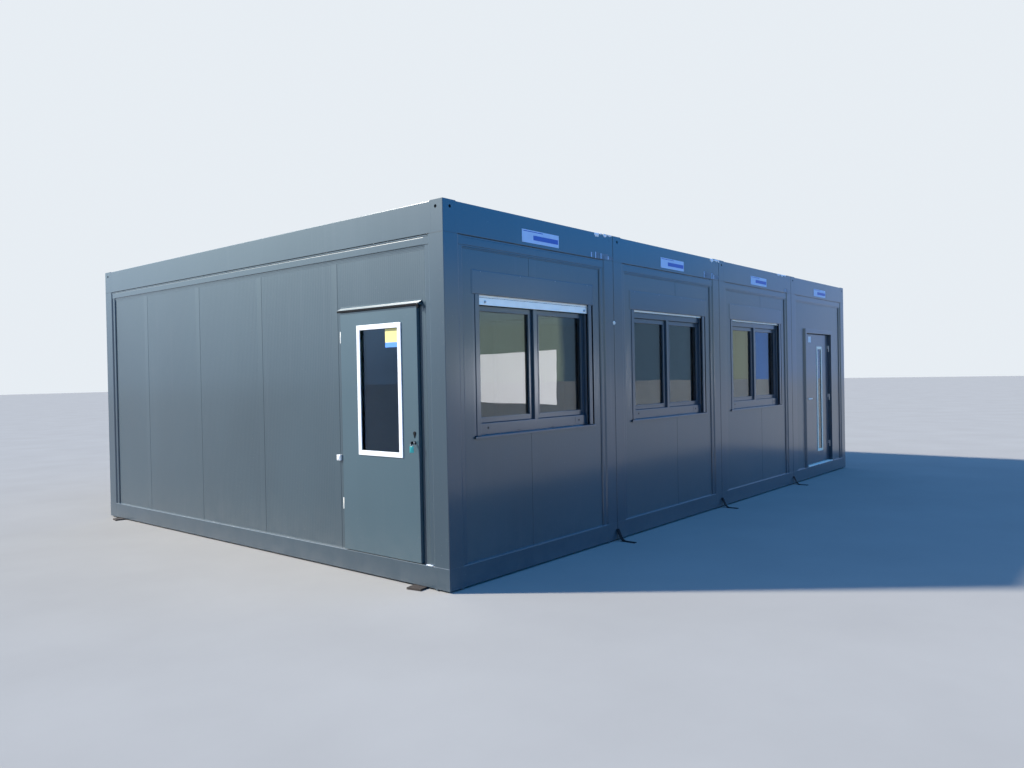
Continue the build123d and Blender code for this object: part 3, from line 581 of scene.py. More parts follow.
# Wall panels with fine upright ribs outside and a smooth white lining inside
panelLook = {
    "pitch": 0.025, "width": 0.008, "slope": 0.003, "depth": 0.0006, "frontDepth": 0.0002,
    "gap": 0.0014, "tongue": 0.006, "lap": 0.076,
    "windowSeams": (1.09, 1.34, 1.34), "backSeam": 1.09, "endSeam": 1.367, "endPitch": 1.206,
}


def ribbedPanel(u0, u1, v0, v1, z0, z1, deep):
    count = max(1, round((u1 - u0) / panelLook["pitch"]))
    step = (u1 - u0) / count
    start = step / 2 - panelLook["width"] / 2
    end = start + panelLook["width"]
    slope = panelLook["slope"]
    part = bmesh.new()
    line = [(0, 0), (start, 0), (start + slope, deep), (end - slope, deep), (end, 0), (step, 0)]
    verts = [part.verts.new((u0 + u, v0 + v, z0)) for u, v in line]
    rib = verts + [part.edges.new(pair) for pair in zip(verts, verts[1:])]
    for number in range(1, count):
        copied = bmesh.ops.duplicate(part, geom=rib)
        bmesh.ops.translate(part, vec=(number * step, 0, 0), verts=newVerts(copied))
    bmesh.ops.remove_doubles(part, verts=part.verts, dist=0.00001)
    raised = bmesh.ops.extrude_edge_only(part, edges=part.edges)
    bmesh.ops.translate(part, vec=(0, 0, z1 - z0), verts=newVerts(raised))
    backVerts = newVerts(bmesh.ops.extrude_face_region(part, geom=list(part.faces)))
    bmesh.ops.translate(part, vec=(0, v1 - v0, 0), verts=backVerts)
    bmesh.ops.scale(part, vec=(1, 0, 1), space=Matrix.Translation((0, -v1, 0)), verts=backVerts)
    bmesh.ops.recalc_face_normals(part, faces=part.faces)
    for face in part.faces:
        face.material_index = 1 if face.normal.y > 0.9 else 0
    bmesh.ops.dissolve_limit(part, angle_limit=0.005, verts=backVerts, edges=part.edges)
    return part


def makeWall(name, node, side, seams=()):
    flat = bmesh.new()
    back = sideMatrix(side).inverted()
    gap, tongue, lap = panelLook["gap"], panelLook["tongue"], panelLook["lap"]
    deep = panelLook["frontDepth" if side == "front" else "depth"]
    for low, high in solidBoxes(node):
        (u0, u1), (v0, v1), (z0, z1) = [sorted(pair) for pair in zip(back @ low, back @ high)]
        cuts = [u0] + [spot for spot in seams if u0 + 0.02 < spot < u1 - 0.02] + [u1]
        for number, (start, end) in enumerate(zip(cuts, cuts[1:])):
            first = start + (gap if number else 0)
            last = end - (gap if number < len(cuts) - 2 else 0)
            join(flat, ribbedPanel(first, last, v0, v1, z0, z1, deep))
            if number:
                join(flat, block((start - gap * 2, v0 + tongue, z0), (start + gap * 2, v1 - 0.001, z1)), 2)
                first, last = (start + gap, v0 - 0.0006, z0 + 0.001), (start + lap, v0 + 0.001, z1 - 0.001)
                join(flat, block(first, last, 0.0005, 1), 0)
    finished(name, stood(flat, side), [panelPaint, liningWhite, blackRubber], nodes=[node])


def makeWalls():
    frontSeams = [seam + cabin["pitch"] * index for index, seam in enumerate(panelLook["windowSeams"])]
    backSeams = [panelLook["backSeam"] + cabin["pitch"] * index for index in range(cabin["modules"])]
    endSeams = [panelLook["endSeam"] + panelLook["endPitch"] * number for number in range(4)]
    makeWall("frontSidePanels", "front_side_panels", "front")
    makeWall("frontHeadPanels", "front_head_panels", "front", frontSeams)
    makeWall("frontSillPanels", "front_sill_panels", "front", frontSeams)
    makeWall("backWallPanels", "back_wall", "back", backSeams)
    makeWall("leftWallPanels", "left_wall", "left", endSeams)
    makeWall("leftDoorHeadPanel", "left_wall_over_door", "left")
    makeWall("rightWallPanels", "right_wall", "right", endSeams)


# Floor, ceilings, joists and the casings inside
def makeRoom():
    deck = softened("floor_decks", 0, 0.001, 2)
    for face in deck.faces:
        face.material_index = 0 if face.normal.z > 0.9 else 1
    finished("floorDecks", deck, [floorVinyl, packerBoard], nodes=["floor_decks"])
    dressed("ceilings", "ceilingBoards", liningWhite, 0)
    dressed("inner_joint_covers", "jointCasings", liningWhite)
    dressed("floor_joists", "floorJoists", zincMetal, 0.002, 0.0006)


# Roof: ribbed zinc sheets, screwed down in the valleys, with a cap over each joint
roofLook = {
    "ribs": 12, "valley": 0.125, "radius": 0.006, "height": 0.005, "washer": 0.009, "inset": 0.03,
    "capScrews": 10, "capHead": 0.008,
}


def makeRoof():
    finished("roofSheets", nodePart("roof_sheets"), [zincMetal], nodes=["roof_sheets"])
    dressed("roof_joint_caps", "roofJointCaps", railPaint, 0.002, 0.0006)
    whole = bmesh.new()
    for low, high in solidBoxes("roof_sheets"):
        step = (high.y - low.y) / roofLook["ribs"]
        seat = low.z + 0.001
        under, over = seat + 0.0015, seat + roofLook["height"]
        for number in range(roofLook["ribs"]):
            y = low.y + step * (number + roofLook["valley"])
            for x in (low.x + roofLook["inset"], high.x - roofLook["inset"], (low.x + high.x) / 2):
                join(whole, rod((x, y, seat), (x, y, under), roofLook["washer"], 12), 0)
                join(whole, rod((x, y, under), (x, y, over), roofLook["radius"], 6), 1)
    for low, high in solidBoxes("roof_joint_caps"):
        for number in range(roofLook["capScrews"]):
            y = low.y + (high.y - low.y) * (number + 0.5) / roofLook["capScrews"]
            x = (low.x + high.x) / 2
            start, end = (x, y, high.z - 0.001), (x, y, high.z + 0.0015)
            join(whole, rod(start, end, roofLook["capHead"], 12, 0.0008), 1)
    finished("roofScrews", whole, [blackRubber, steelMetal])


# Bare plates on the fascias: along from each module's left, in metres
plateLook = {
    "start": 0.975, "width": 0.54, "height": 0.114, "low": 2.876, "thick": 0.002, "film": 0.0006,
    "rivet": 0.0045,
}


def makePlates():
    flat = bmesh.new()
    u0, z0, thick = plateLook["start"], plateLook["low"], plateLook["thick"]
    u1, z1 = u0 + plateLook["width"], z0 + plateLook["height"]
    film = -thick - plateLook["film"]
    join(flat, block((u0, -thick, z0), (u1, 0, z1), 0.0006, 1), 0)
    join(flat, block((u0 + 0.02, film, z1 - 0.016), (u0 + 0.30, -thick, z1 - 0.009)), 1)
    join(flat, block((u0 + 0.16, film, z0 + 0.030), (u1 - 0.012, -thick, z0 + 0.072)), 1)
    for u in (u0 + 0.010, u1 - 0.010):
        for z in (z0 + 0.010, z1 - 0.010):
            join(flat, stub(u, z, -thick, -thick - 0.0018, plateLook["rivet"], 12, 0.0008), 2)
    finished("signPlates", inRow(flat, cabin["modules"]), [plateWhite, plateBlue, steelMetal])


# Lumps of sealant over the roof joints, as index, along, half width and half height, each of three
# smaller lumps, as width, height and shift. Strips of tape below them, as index, ends, low and high
sealLook = {
    "lumps": (
        (0, 2.150, 0.045, 0.020), (0, 2.215, 0.016, 0.008), (0, 2.295, 0.036, 0.014),
        (0, 2.375, 0.045, 0.008), (1, 2.245, 0.060, 0.021), (1, 2.365, 0.060, 0.014),
        (1, 2.435, 0.030, 0.016), (2, 1.960, 0.070, 0.014), (2, 2.090, 0.060, 0.017),
        (2, 2.200, 0.050, 0.012),
    ),
    "shares": ((0.8, 1.0, 0.0), (0.5, 0.72, -0.45), (0.45, 0.6, 0.5)),
    "tapes": (
        (0, 2.045, 2.085, 2.853, 2.900), (0, 2.120, 2.190, 2.850, 2.910), (0, 2.215, 2.345, 2.852, 2.905),
        (0, 2.345, 2.432, 2.856, 2.890), (1, 2.030, 2.190, 2.852, 2.925), (1, 2.240, 2.290, 2.852, 2.922),
        (1, 2.290, 2.432, 2.856, 2.905), (2, 2.200, 2.330, 2.853, 2.895),
    ),
    # Ledge lumps, as along, half width and half height: a painted highlight for the sunlit top of the left
    # floor ledge
    "ledgeLight": ((0.200, 0.014, 0.005), (0.225, 0.018, 0.007), (0.250, 0.012, 0.005)),
    "top": 3.1045,
}


def lumpAt(size, place, wobble=None):
    # A rounded lump, uneven where a wobble is given
    part = bmesh.new()
    bmesh.ops.create_icosphere(part, subdivisions=3, radius=1.0)
    if wobble:
        for vert in part.verts:
            vert.co *= wobble(vert.co)
    bmesh.ops.scale(part, vec=size, verts=part.verts)
    bmesh.ops.translate(part, vec=place, verts=part.verts)
    return part


def makeSealant():
    chance = random.Random(7)
    whole = bmesh.new()
    top = sealLook["top"]
    for index, along, wide, tall in sealLook["lumps"]:
        for number, (width, height, shift) in enumerate(sealLook["shares"]):
            def wobble(spot):
                wave = math.sin(spot.x * 5 + along * 40 + number) * math.cos(spot.y * 4 + index) * 0.18
                return 1.0 + wave + chance.uniform(-0.03, 0.03)
            high = tall * height
            place = (along + shift * wide, 0.002, top - 1.25 * high)
            lump = lumpAt((wide * width, 0.009, high), place, wobble)
            for vert in lump.verts:
                vert.co.z = min(vert.co.z, top)
            join(whole, stood(lump, "front", index))
    finished("sealantLumps", whole, [sealantPaste], smoothAngle=1.2)
    tapes = bmesh.new()
    for index, start, end, low, high in sealLook["tapes"]:
        strip = block((start, -0.0010, low), (end, 0.0, high), 0.0004, 1)
        join(tapes, stood(strip, "front", index), 0)
        edge = block((start - 0.002, -0.0018, low), (start + 0.010, 0.0, high), 0.0008, 1)
        join(tapes, stood(edge, "front", index), 1)
    finished("jointTapes", tapes, [jointTape, plateWhite])
    # White lumps on the left wall's floor ledge: a painted highlight where the ledge's top catches the key
    # light
    ledgeLight = bmesh.new()
    for y, wide, tall in sealLook["ledgeLight"]:
        join(ledgeLight, lumpAt((wide, 0.012, tall), (y, 0.004, cabin["floor"] + 0.004)))
    finished("ledgeHighlight", stood(ledgeLight, "left"), [sealantPaste], smoothAngle=1.2)


# The bolt across the first joint, the rubber tails and the board packers
boltLook = {"height": 2.22, "washer": 0.019, "head": 0.012}
packerLook = {
    "ply": 0.0072,
    "corners": ((0.245, -0.084), (0.385, -0.109), (0.430, 0.145), (0.290, 0.170)),
    "slip": 0.006,
}


def makeBase():
    bolt = bmesh.new()
    u, z = cabin["width"] + 0.0025, boltLook["height"]
    join(bolt, stub(u, z, 0.004, -0.003, boltLook["washer"], 24, 0.001))
    join(bolt, stub(u, z, -0.003, -0.0115, boltLook["head"], 6, 0.0012))
    finished("jointBolt", stood(bolt, "front"), [silverMetal], smoothAngle=0.6)
    dressed("joint_seals", "jointSeals", blackRubber, 0)
    boards = bmesh.new()
    ply, slip = packerLook["ply"], packerLook["slip"]
    for side in ("left", "right"):
        for flip in (False, True):
            for layer in range(2):
                move = slip * layer
                corners = [((cabin["depth"] - y if flip else y) + move, v + move, ply * layer + 0.0004)
                           for y, v in packerLook["corners"]]
                join(boards, stood(outline(corners, (0, 0, ply - 0.0006), 0.001), side))
    for low, high in solidBoxes("base_packers"):
        if abs((low.x + high.x) / 2) < 3:
            for layer in range(2):
                move = Vector((slip * layer, slip * layer * 0.5, 0))
                start = Vector((low.x, low.y, ply * layer + 0.0004)) + move
                end = (high.x - 0.008 + move.x, high.y - 0.004 + move.y, start.z + ply - 0.0006)
                join(boards, block(start, end, 0.001))
    finished("basePackers", boards, [packerBoard], nodes=["base_packers"])


# Windows: frames, sashes, panes, gaskets, drain caps and handles
windowLook = {
    "modules": 3, "left": 0.345, "right": 2.092, "sill": 1.2, "sillRise": 0.015, "head": 2.38, "top": 2.58,
    "unitFace": 0.020, "frameFace": 0.062, "side": 0.083, "bottom": 0.095, "topBar": 0.082, "mullion": 0.05,
    "sashFace": 0.085, "sashDepth": 0.055, "stile": 0.0485, "sheet": 0.004, "pane": (0.105, 0.129),
    "gasket": 0.003, "bead": 0.012,
}


def sashOpenings():
    # The two openings in a window's frame, as ends along and up
    low = windowLook["sill"] + windowLook["sillRise"] + windowLook["bottom"]
    high = windowLook["head"] - windowLook["topBar"]
    middle = (windowLook["left"] + windowLook["right"]) / 2
    half = windowLook["mullion"] / 2
    first = windowLook["left"] + windowLook["side"]
    last = windowLook["right"] - windowLook["side"]
    return [(first, middle - half, low, high), (middle + half, last, low, high)]


def makePanes():
    panes = bmesh.new()
    rubber = bmesh.new()
    trim = bmesh.new()
    stile, sheet, gasket, bead = (windowLook[key] for key in ("stile", "sheet", "gasket", "bead"))
    face = windowLook["sashFace"]
    front, back = windowLook["pane"]
    for u0, u1, z0, z1 in sashOpenings():
        a, b, c, d = u0 + stile, u1 - stile, z0 + stile, z1 - stile
        for v in (front, back - sheet):
            join(panes, block((a, v, c), (b, v + sheet, d)), 0)
        join(panes, rim(a, b, c, d, front + 0.005, back - 0.005, 0.010), 1)
        join(rubber, rim(a, b, c, d, front - 0.004, front, gasket, 0.001, 1))
        join(rubber, rim(u0, u1, z0, z1, face - 0.002, face, 0.004, 0.0008, 1))
        join(rubber, rim(a, b, c, d, back, back + 0.003, gasket))
        join(trim, mitred(a - bead, b + bead, c - bead, d + bead, face - 0.004, face, bead, 0.0012))
    count = windowLook["modules"]
    finished("windowPanes", inRow(panes, count), [windowGlass, greyPlastic], nodes=["window_glass"])
    finished("windowGaskets", inRow(rubber, count), [blackRubber])
    finished("sashBeads", inRow(trim, count), [windowPaint])


# Places of the small fittings on a window, along and up, in metres
fittingLook = {
    "cover": (1.815, 1.955), "plugs": ((0.556, 1.269, 0.0), (1.875, 1.2645, 0.002)),
    "drains": 4, "drainStart": 0.4435, "drainPitch": 0.50, "drainWidth": 0.032, "handleInset": 0.024,
}


def makeWindowFittings():
    look = fittingLook
    caps = bmesh.new()
    handles = bmesh.new()
    face = windowLook["frameFace"]
    low = windowLook["sill"] + windowLook["sillRise"]
    base = windowLook["sashFace"] + windowLook["sashDepth"]
    start, end = look["cover"]
    join(caps, block((start, face - 0.002, low + 0.018), (end, face, low + 0.082), 0.002), 2)
    for u, z, lift in look["plugs"]:
        join(caps, stub(u, z, face, face - lift - 0.0010, 0.0095, 20), 1)
    for number in range(look["drains"]):
        u = look["drainStart"] + number * look["drainPitch"]
        end = u + look["drainWidth"]
        join(caps, block((u, face - 0.0022, low + 0.008), (end, face, low + 0.016), 0.002), 0)
    first, second = sashOpenings()
    z = (first[2] + first[3]) / 2
    for u in (first[1] - look["handleInset"], second[0] + look["handleInset"]):
        join(handles, block((u - 0.014, base, z - 0.035), (u + 0.014, base + 0.005, z + 0.035), 0.003))
        join(handles, stub(u, z, base, base + 0.030, 0.007, 16, 0.001))
        grip = block((u - 0.009, base + 0.024, z - 0.115), (u + 0.009, base + 0.035, z + 0.010), 0.004)
        join(handles, grip)
    count = windowLook["modules"]
    finished("drainCaps", inRow(caps, count), [darkPlastic, blackRubber, windowPaint])
    finished("sashHandles", inRow(handles, count), [silverMetal])
    dressed("window_frames", "windowFrames", windowPaint, 0.003, 0.0008, 3)
    dressed("window_sashes", "windowSashes", windowPaint, 0.004, 0.0008, 3)


# Shutters: boxes, guides, end slats and sills
shutterLook = {
    "screws": (0.10, 0.62, 1.13, 1.65), "slot": (0.038, 0.052), "slotDepth": 0.030, "guide": (0.375, 0.427),
    "lip": 0.022, "stops": (0.113, 0.063), "stop": 0.0120,
}


def makeShutters():
    dressed("shutter_boxes", "shutterBoxes", windowPaint, 0.002, 0.0008)
    dressed("shutter_guides", "shutterGuides", windowPaint, 0.0025, 0.0008)
    dressed("window_sills", "windowSills", windowPaint, 0.0015, 0.0008)
    trims = bmesh.new()
    brushesAndGrooveShade = bmesh.new()
    left, right, head, top, face = (windowLook[key] for key in ("left", "right", "head", "top", "unitFace"))
    low, high = windowLook["sill"] + windowLook["sillRise"] + 0.001, head - 0.001
    depth = windowLook["frameFace"] - 0.0005
    outerSlot, innerSlot = shutterLook["slot"]
    guide, far = shutterLook["guide"]
    near = far - shutterLook["slotDepth"]
    for run in shutterLook["screws"]:
        join(trims, stub(left + run, top - 0.012, face + 0.002, face - 0.0020, 0.0050, 14, 0.001), 1)
    for end, out in ((left, -0.014), (right, 0.014)):
        corners = [(end + out, 0.0249, head), (end, face + 0.0004, head), (end, 0.030, head)]
        join(trims, outline(corners, (0, 0, top - head)), 0)
    lower = block((left + 0.002, face + 0.004, head - 0.0012), (right - 0.002, face + 0.016, head + 0.001))
    join(trims, lower, 0)
    start, end = (left - 0.003, face + 0.006, top - 0.001), (right + 0.003, face + 0.012, top + 0.0035)
    join(trims, block(start, end, 0.001, 1), 0)
    join(trims, block((left + 0.0005, face + 0.006, low), (guide - 0.0005, depth, high), 0.0006, 1), 0)
    for start, end in ((near, far), (left + right - far, left + right - near)):
        for v in (outerSlot + 0.0002, innerSlot - 0.0014):
            join(brushesAndGrooveShade, block((start + 0.001, v, low), (end - 0.001, v + 0.0012, high)))
    # Black rubber on the right side of each guide's groove: a gasket that also paints the groove's shade
    join(brushesAndGrooveShade, block((right - 0.0035, 0.0265, low), (right - 0.0003, depth, high)))
    join(brushesAndGrooveShade, block((right - 0.030, depth - 0.0035, low), (right - 0.0035, depth, high)))
    count = windowLook["modules"]
    finished("shutterTrims", inRow(trims, count), [windowPaint, greyPlastic], smoothAngle=0.7)
    finished("guideBrushesAndGrooveShade", inRow(brushesAndGrooveShade, count), [blackRubber])


def makeSlats():
    whole = bmesh.new()
    for low, high in sorted(solidBoxes("shutter_slats"), key=lambda pair: pair[0].x):
        x0, x1, y0, y1, z0, z1 = low.x, high.x, low.y, high.y, low.z, high.z
        if z1 - z0 > 0.05:
            join(whole, block((x0, y0 + 0.002, z0), (x1, y1, z1 - shutterLook["lip"]), 0.0015), 0)
            join(whole, block((x0, y0 + 0.003, z1 - 0.026), (x1, y1 - 0.001, z1 - 0.018)), 3)
            join(whole, block((x0, y0, z1 - 0.020), (x1, y1, z1), 0.003, 3), 0)
            join(whole, block((x0, y0, z0), (x1, y0 + 0.004, z0 + 0.007), 0.001), 0)
            for x in (x0 + shutterLook["stops"][0], x1 - shutterLook["stops"][1]):
                join(whole, stub(x, z0 + 0.027, y0 + 0.002, y0 - 0.006, shutterLook["stop"], 20, 0.004), 2)
                join(whole, stub(x, z0 + 0.027, y0 - 0.006, y0 - 0.0072, 0.0045, 12), 1)
        else:
            join(whole, block((x0, y0, z0), (x1, y1, z1), 0.003, 3), 0)
            for x in (x0 + 0.02, x1 - 0.02):
                start, end = (x - 0.018, y0 - 0.002, z0 + 0.001), (x + 0.022, y1 - 0.001, z1 - 0.002)
                join(whole, block(start, end, 0.003), 1)
    finished("endSlats", whole, [silverMetal, greyPlastic, steelMetal, blackRubber],
             nodes=["shutter_slats"])


# Left door
leftDoorLook = {
    "low": 0.314, "high": 1.294, "bottom": 0.197, "top": 2.285, "outer": -0.005, "inner": 0.045,
    "frame": 0.050, "glass": (0.531, 1.036, 1.073, 2.131), "cover": 0.030, "tuck": 0.012, "proud": 0.009,
    "pane": (0.010, 0.030), "keyhole": (0.362, 1.250), "cylinder": (0.360, 1.174), "lever": (0.380, 1.250),
    "label": 0.173, "labelUpper": (0.014, 0.130), "labelLower": (0.1305, 0.171),
}


def doorBeads(look, thirds, radius):
    # Mitred covers on both faces of a leaf, and the rims between them and the glass
    beads = bmesh.new()
    u0, u1, z0, z1 = look["glass"]
    cover, tuck, outer, inner = look["cover"], look["tuck"], look["outer"], look["inner"]
    for v0, v1 in ((outer - look["proud"], outer), (inner, inner + look["proud"])):
        join(beads, mitred(u0 - cover, u1 + cover, z0 - cover, z1 + cover, v0, v1, cover + tuck, radius))
    for v0, v1 in ((outer + 0.0005, thirds[0]), (thirds[1], inner - 0.0005)):
        join(beads, rim(u0 + 0.0003, u1 - 0.0003, z0 + 0.0003, z1 - 0.0003, v0, v1, tuck))
    return beads


def leafSeal(look, slack, v0, v1, bar, radius):
    # A rubber all round a leaf, a little inside its edge
    u0, u1, z0, z1 = (look[key] for key in ("low", "high", "bottom", "top"))
    return rim(u0 + slack, u1 - slack, z0 + slack, z1 - slack, v0, v1, bar, radius, 1)


def makeLeftDoor():
    look = leftDoorLook
    dressed("left_door_jambs", "leftDoorJambs", railPaint)
    dressed("left_door_head", "leftDoorHead", railPaint)
    dressed("left_door_leaf", "leftDoorLeaf", doorSheenPaint, steps=3, body="left_door")
    seal = leafSeal(look, 0.003, look["inner"] + 0.0002, look["frame"] - 0.0008, 0.011, 0.001)
    finished("leftDoorSeals", stood(seal, "left"), [blackRubber], "left_door")
    front, back = look["pane"]
    beads = doorBeads(look, (front - 0.0003, back + 0.0003), 0.0025)
    finished("leftDoorBeads", stood(beads, "left"), [whiteBead], "left_door",
             ["left_door_beads"])
    u0, u1, z0, z1 = look["glass"]
    gap, edge = 0.001, look["tuck"] + 0.007
    pane = bmesh.new()
    for v in (front, back - 0.004):
        join(pane, block((u0 + gap, v, z0 + gap), (u1 - gap, v + 0.004, z1 - gap)), 0)
    join(pane, rim(u0 + gap, u1 - gap, z0 + gap, z1 - gap, front + 0.0045, back - 0.0045, 0.018), 1)
    join(pane, rim(u0 + edge, u1 - edge, z0 + edge, z1 - edge, front - 0.0010, front - 0.0003, 0.009), 1)
    finished("leftDoorPane", stood(pane, "left"), [doorGlass, silverMetal], "left_door",
             ["left_door_glass"])
    label = bmesh.new()
    start = u0 + look["tuck"] + gap
    end = start + look["label"]
    for material, high, low in ((0, *look["labelUpper"]), (1, *look["labelLower"])):
        join(label, block((start, front - 0.0007, z1 - low), (end, front - 0.0002, z1 - high)), material)
    finished("doorLabel", stood(label, "left"), [labelYellow, labelBlue], "left_door")


def keyhole(u, z, v, wide, drop, thick):
    # A keyhole plate, round above and pointed below
    part = bmesh.new()
    bmesh.ops.create_circle(part, cap_ends=True, segments=24, radius=wide)
    for vert in part.verts:
        if vert.co.y < 0:
            vert.co.x *= 1 + vert.co.y / wide * 0.8
            vert.co.y *= drop / wide
    bmesh.ops.rotate(part, matrix=Matrix.Rotation(math.pi / 2, 3, "X"), verts=part.verts)
    pullOut(part, (0, thick, 0))
    bmesh.ops.translate(part, vec=(u, v - thick, z), verts=part.verts)
    roundEdges(part, [e for e in part.edges if e.calc_face_angle(0) > 1.0], thick * 0.3)
    return part


def hoop(radius, wire):
    # A split ring in the flat
    part = bmesh.new()
    bmesh.ops.create_circle(part, segments=8, radius=wire)
    bmesh.ops.rotate(part, matrix=Matrix.Rotation(math.pi / 2, 3, "X"), verts=part.verts)
    bmesh.ops.translate(part, vec=(radius, 0, 0), verts=part.verts)
    bmesh.ops.spin(part, geom=list(part.edges), cent=(0, 0, 0), axis=(0, 0, 1), angle=math.tau, steps=28,
                   use_merge=True)
    bmesh.ops.remove_doubles(part, verts=part.verts, dist=0.00001)
    bmesh.ops.recalc_face_normals(part, faces=part.faces)
    return part


def turned(part, degrees, axis, place):
    # Turns a small part round its own zero, then moves it to its place
    matrix = Matrix.Translation(place) @ Matrix.Rotation(math.radians(degrees), 4, axis)
    bmesh.ops.transform(part, matrix=matrix, verts=part.verts)
    return part


def makeLeftLock():
    whole = bmesh.new()
    outer, inner = leftDoorLook["outer"], leftDoorLook["inner"]
    u, z = leftDoorLook["keyhole"]
    join(whole, keyhole(u, z, outer, 0.0165, 0.040, 0.004), 2)
    # Cylinder with its key, ring and tag
    u, z = leftDoorLook["cylinder"]
    join(whole, stub(u, z, outer, outer - 0.005, 0.013, 28, 0.0012), 2)
    join(whole, stub(u, z, outer - 0.004, outer - 0.012, 0.0085, 24, 0.0008), 0)
    join(whole, block((u - 0.001, outer - 0.022, z - 0.004), (u + 0.001, outer - 0.010, z + 0.004)), 0)
    start, end = (u - 0.0035, outer - 0.046, z - 0.015), (u + 0.0035, outer - 0.019, z + 0.013)
    join(whole, block(start, end, 0.003, 3), 2)
    join(whole, turned(hoop(0.013, 0.0009), 80, "X", (u + 0.004, outer - 0.038, z - 0.018)), 1)
    fob = block((-0.0165, -0.0018, -0.052), (0.0165, 0.0018, 0.0), 0.0016)
    join(whole, turned(fob, -34, "Z", (u + 0.003, outer - 0.036, z - 0.026)), 3)
    # Lever inside
    u, z = leftDoorLook["lever"]
    join(whole, stub(u, z, inner, inner + 0.008, 0.022, 32, 0.0015), 0)
    join(whole, stub(u, z, inner, inner + 0.045, 0.008, 20, 0.001), 0)
    start, end = (u - 0.008, inner + 0.037, z - 0.008), (u + 0.130, inner + 0.052, z + 0.008)
    join(whole, block(start, end, 0.004, 3), 0)
    stood(whole, "left")
    finished("leftDoorLock", whole, [steelMetal, silverMetal, blackRubber, tagGreen], "left_door",
             ["left_door_lock"], 0.6)


# Black strips on and under the rain cap's drip edge, which paint the cap's shaded underside and its shadow on
# the door's top, and the catch that holds the door open, both along and up the left wall
capShadowLook = {"start": 0.2775, "end": 1.320, "low": 2.2858, "high": 2.3030, "drop": 2.2660}
catchPlace = (1.370, 1.0)


def makeLeftDoorFittings():
    for node, name, body, metal in (("left_door_hinges", "leftDoorHinges", "left_door", silverMetal),
                                    ("left_door_hinge_arms", "leftHingeArms", "root", silverMetal),
                                    ("front_door_hinges", "frontDoorHinges", "front_door", steelMetal),
                                    ("front_door_hinge_arms", "frontHingeArms", "root", steelMetal)):
        finished(name, nodePart(node), [metal], body, [node], 0.5)
    dressed("rain_cap", "rainCap", doorSheenPaint, 0, 0.0005)
    start, end, low = capShadowLook["start"] + 0.0055, capShadowLook["end"] - 0.003, capShadowLook["low"]
    # These strips are black rubber: painted shade under the cap and painted shadow down the door, longer at
    # the lock end
    lip = bmesh.new()
    join(lip, block((start, -0.0180, low), (end, -0.0055, 2.2912), 0.0008, 1))
    join(lip, block((capShadowLook["start"], -0.0210, low), (capShadowLook["end"], -0.0180, capShadowLook["high"]), 0.0004, 1))
    join(lip, block((start - 0.002, -0.0185, capShadowLook["drop"]), (start + 0.019, -0.0110, 2.2915), 0.0008, 1))
    finished("rainCapShadow", stood(lip, "left"), [blackRubber])
    u, z = catchPlace
    catch = bmesh.new()
    join(catch, block((u - 0.026, 0.001, z - 0.026), (u + 0.026, 0.025, z + 0.026), 0.004, 3), 0)
    join(catch, block((u - 0.018, -0.003, z - 0.016), (u + 0.018, 0.004, z + 0.016), 0.003, 3), 0)
    for lift in (-0.019, 0.019):
        join(catch, stub(u, z + lift, 0.002, -0.0005, 0.0035, 12, 0.0005), 1)
    finished("leftDoorCatch", stood(catch, "left"), [whitePlastic, steelMetal],
             nodes=["left_door_catch"])


# Front door, in the last module
frontDoorLook = {
    "index": 3, "low": 0.648, "high": 1.757, "bottom": 0.212, "top": 2.272, "outer": 0.05, "inner": 0.095,
    "glass": (1.23, 1.41, 0.42, 2.05), "cover": 0.030, "tuck": 0.012, "proud": 0.006,
    "handle": (0.7, 1.25, 1.17), "panes": (0.0535, 0.0785), "label": (0.835, 0.955, 2.14, 2.235),
    "treads": 5, "treadPitch": 0.014, "treadStart": 0.012, "tread": (0.642, 1.763, 0.204, 0.2052),
    "sideBead": (0.562, 0.584, 0.1905, 2.159),
}


def makeFrontDoor():
    look = frontDoorLook
    index, outer, inner = look["index"], look["outer"], look["inner"]
    dressed("front_door_jambs", "frontDoorJambs", railPaint)
    dressed("front_door_head", "frontDoorHead", railPaint)
    dressed("front_door_leaf", "frontDoorLeaf", railPaint, steps=3, body="front_door")
    front, back = look["panes"]
    beads = stood(doorBeads(look, (front - 0.001, back + 0.004), 0.002), "front", index)
    # The front door's white beads take the warmer copy, which paints out the blue of their shade
    finished("frontDoorBeads", beads, [shadeWarmedBead], "front_door", ["front_door_beads"])
    u0, u1, z0, z1 = look["glass"]
    pane = bmesh.new()
    for v in look["panes"]:
        join(pane, block((u0 + 0.001, v, z0 + 0.001), (u1 - 0.001, v + 0.003, z1 - 0.001)), 0)
    join(pane, rim(u0 + 0.001, u1 - 0.001, z0 + 0.001, z1 - 0.001, 0.057, 0.078, 0.014), 1)
    finished("frontDoorPane", stood(pane, "front", index), [windowGlass, silverMetal], "front_door",
             ["front_door_glass"])
    seal = leafSeal(look, 0.006, inner, inner + 0.005, 0.008, 0.0)
    finished("frontDoorSeals", stood(seal, "front", index), [blackRubber], "front_door")
    start, end, low, high = look["label"]
    plate = block((start, outer - 0.001, low), (end, outer, high))
    finished("doorSquareLabel", stood(plate, "front", index), [whitePlastic], "front_door")
    makeFrontHandle(look, index)
    start, end, low, height = look["sideBead"]
    corners = [(start, 0.0249, low), (end, 0.0006, low), (end, 0.030, low)]
    side = stood(outline(corners, (0, 0, height)), "front", index)
    finished("frontDoorSideBead", side, [trimPaint])
    dressed("door_thresholds", "doorThresholds", silverMetal, 0.002, 0.0008)
    treads = bmesh.new()
    start, end, low, high = look["tread"]
    for number in range(look["treads"]):
        v = look["treadStart"] + number * look["treadPitch"]
        join(treads, block((start, v, low), (end, v + 0.005, high), 0.0005, 1))
    finished("thresholdTreads", stood(treads, "front", index), [silverMetal])


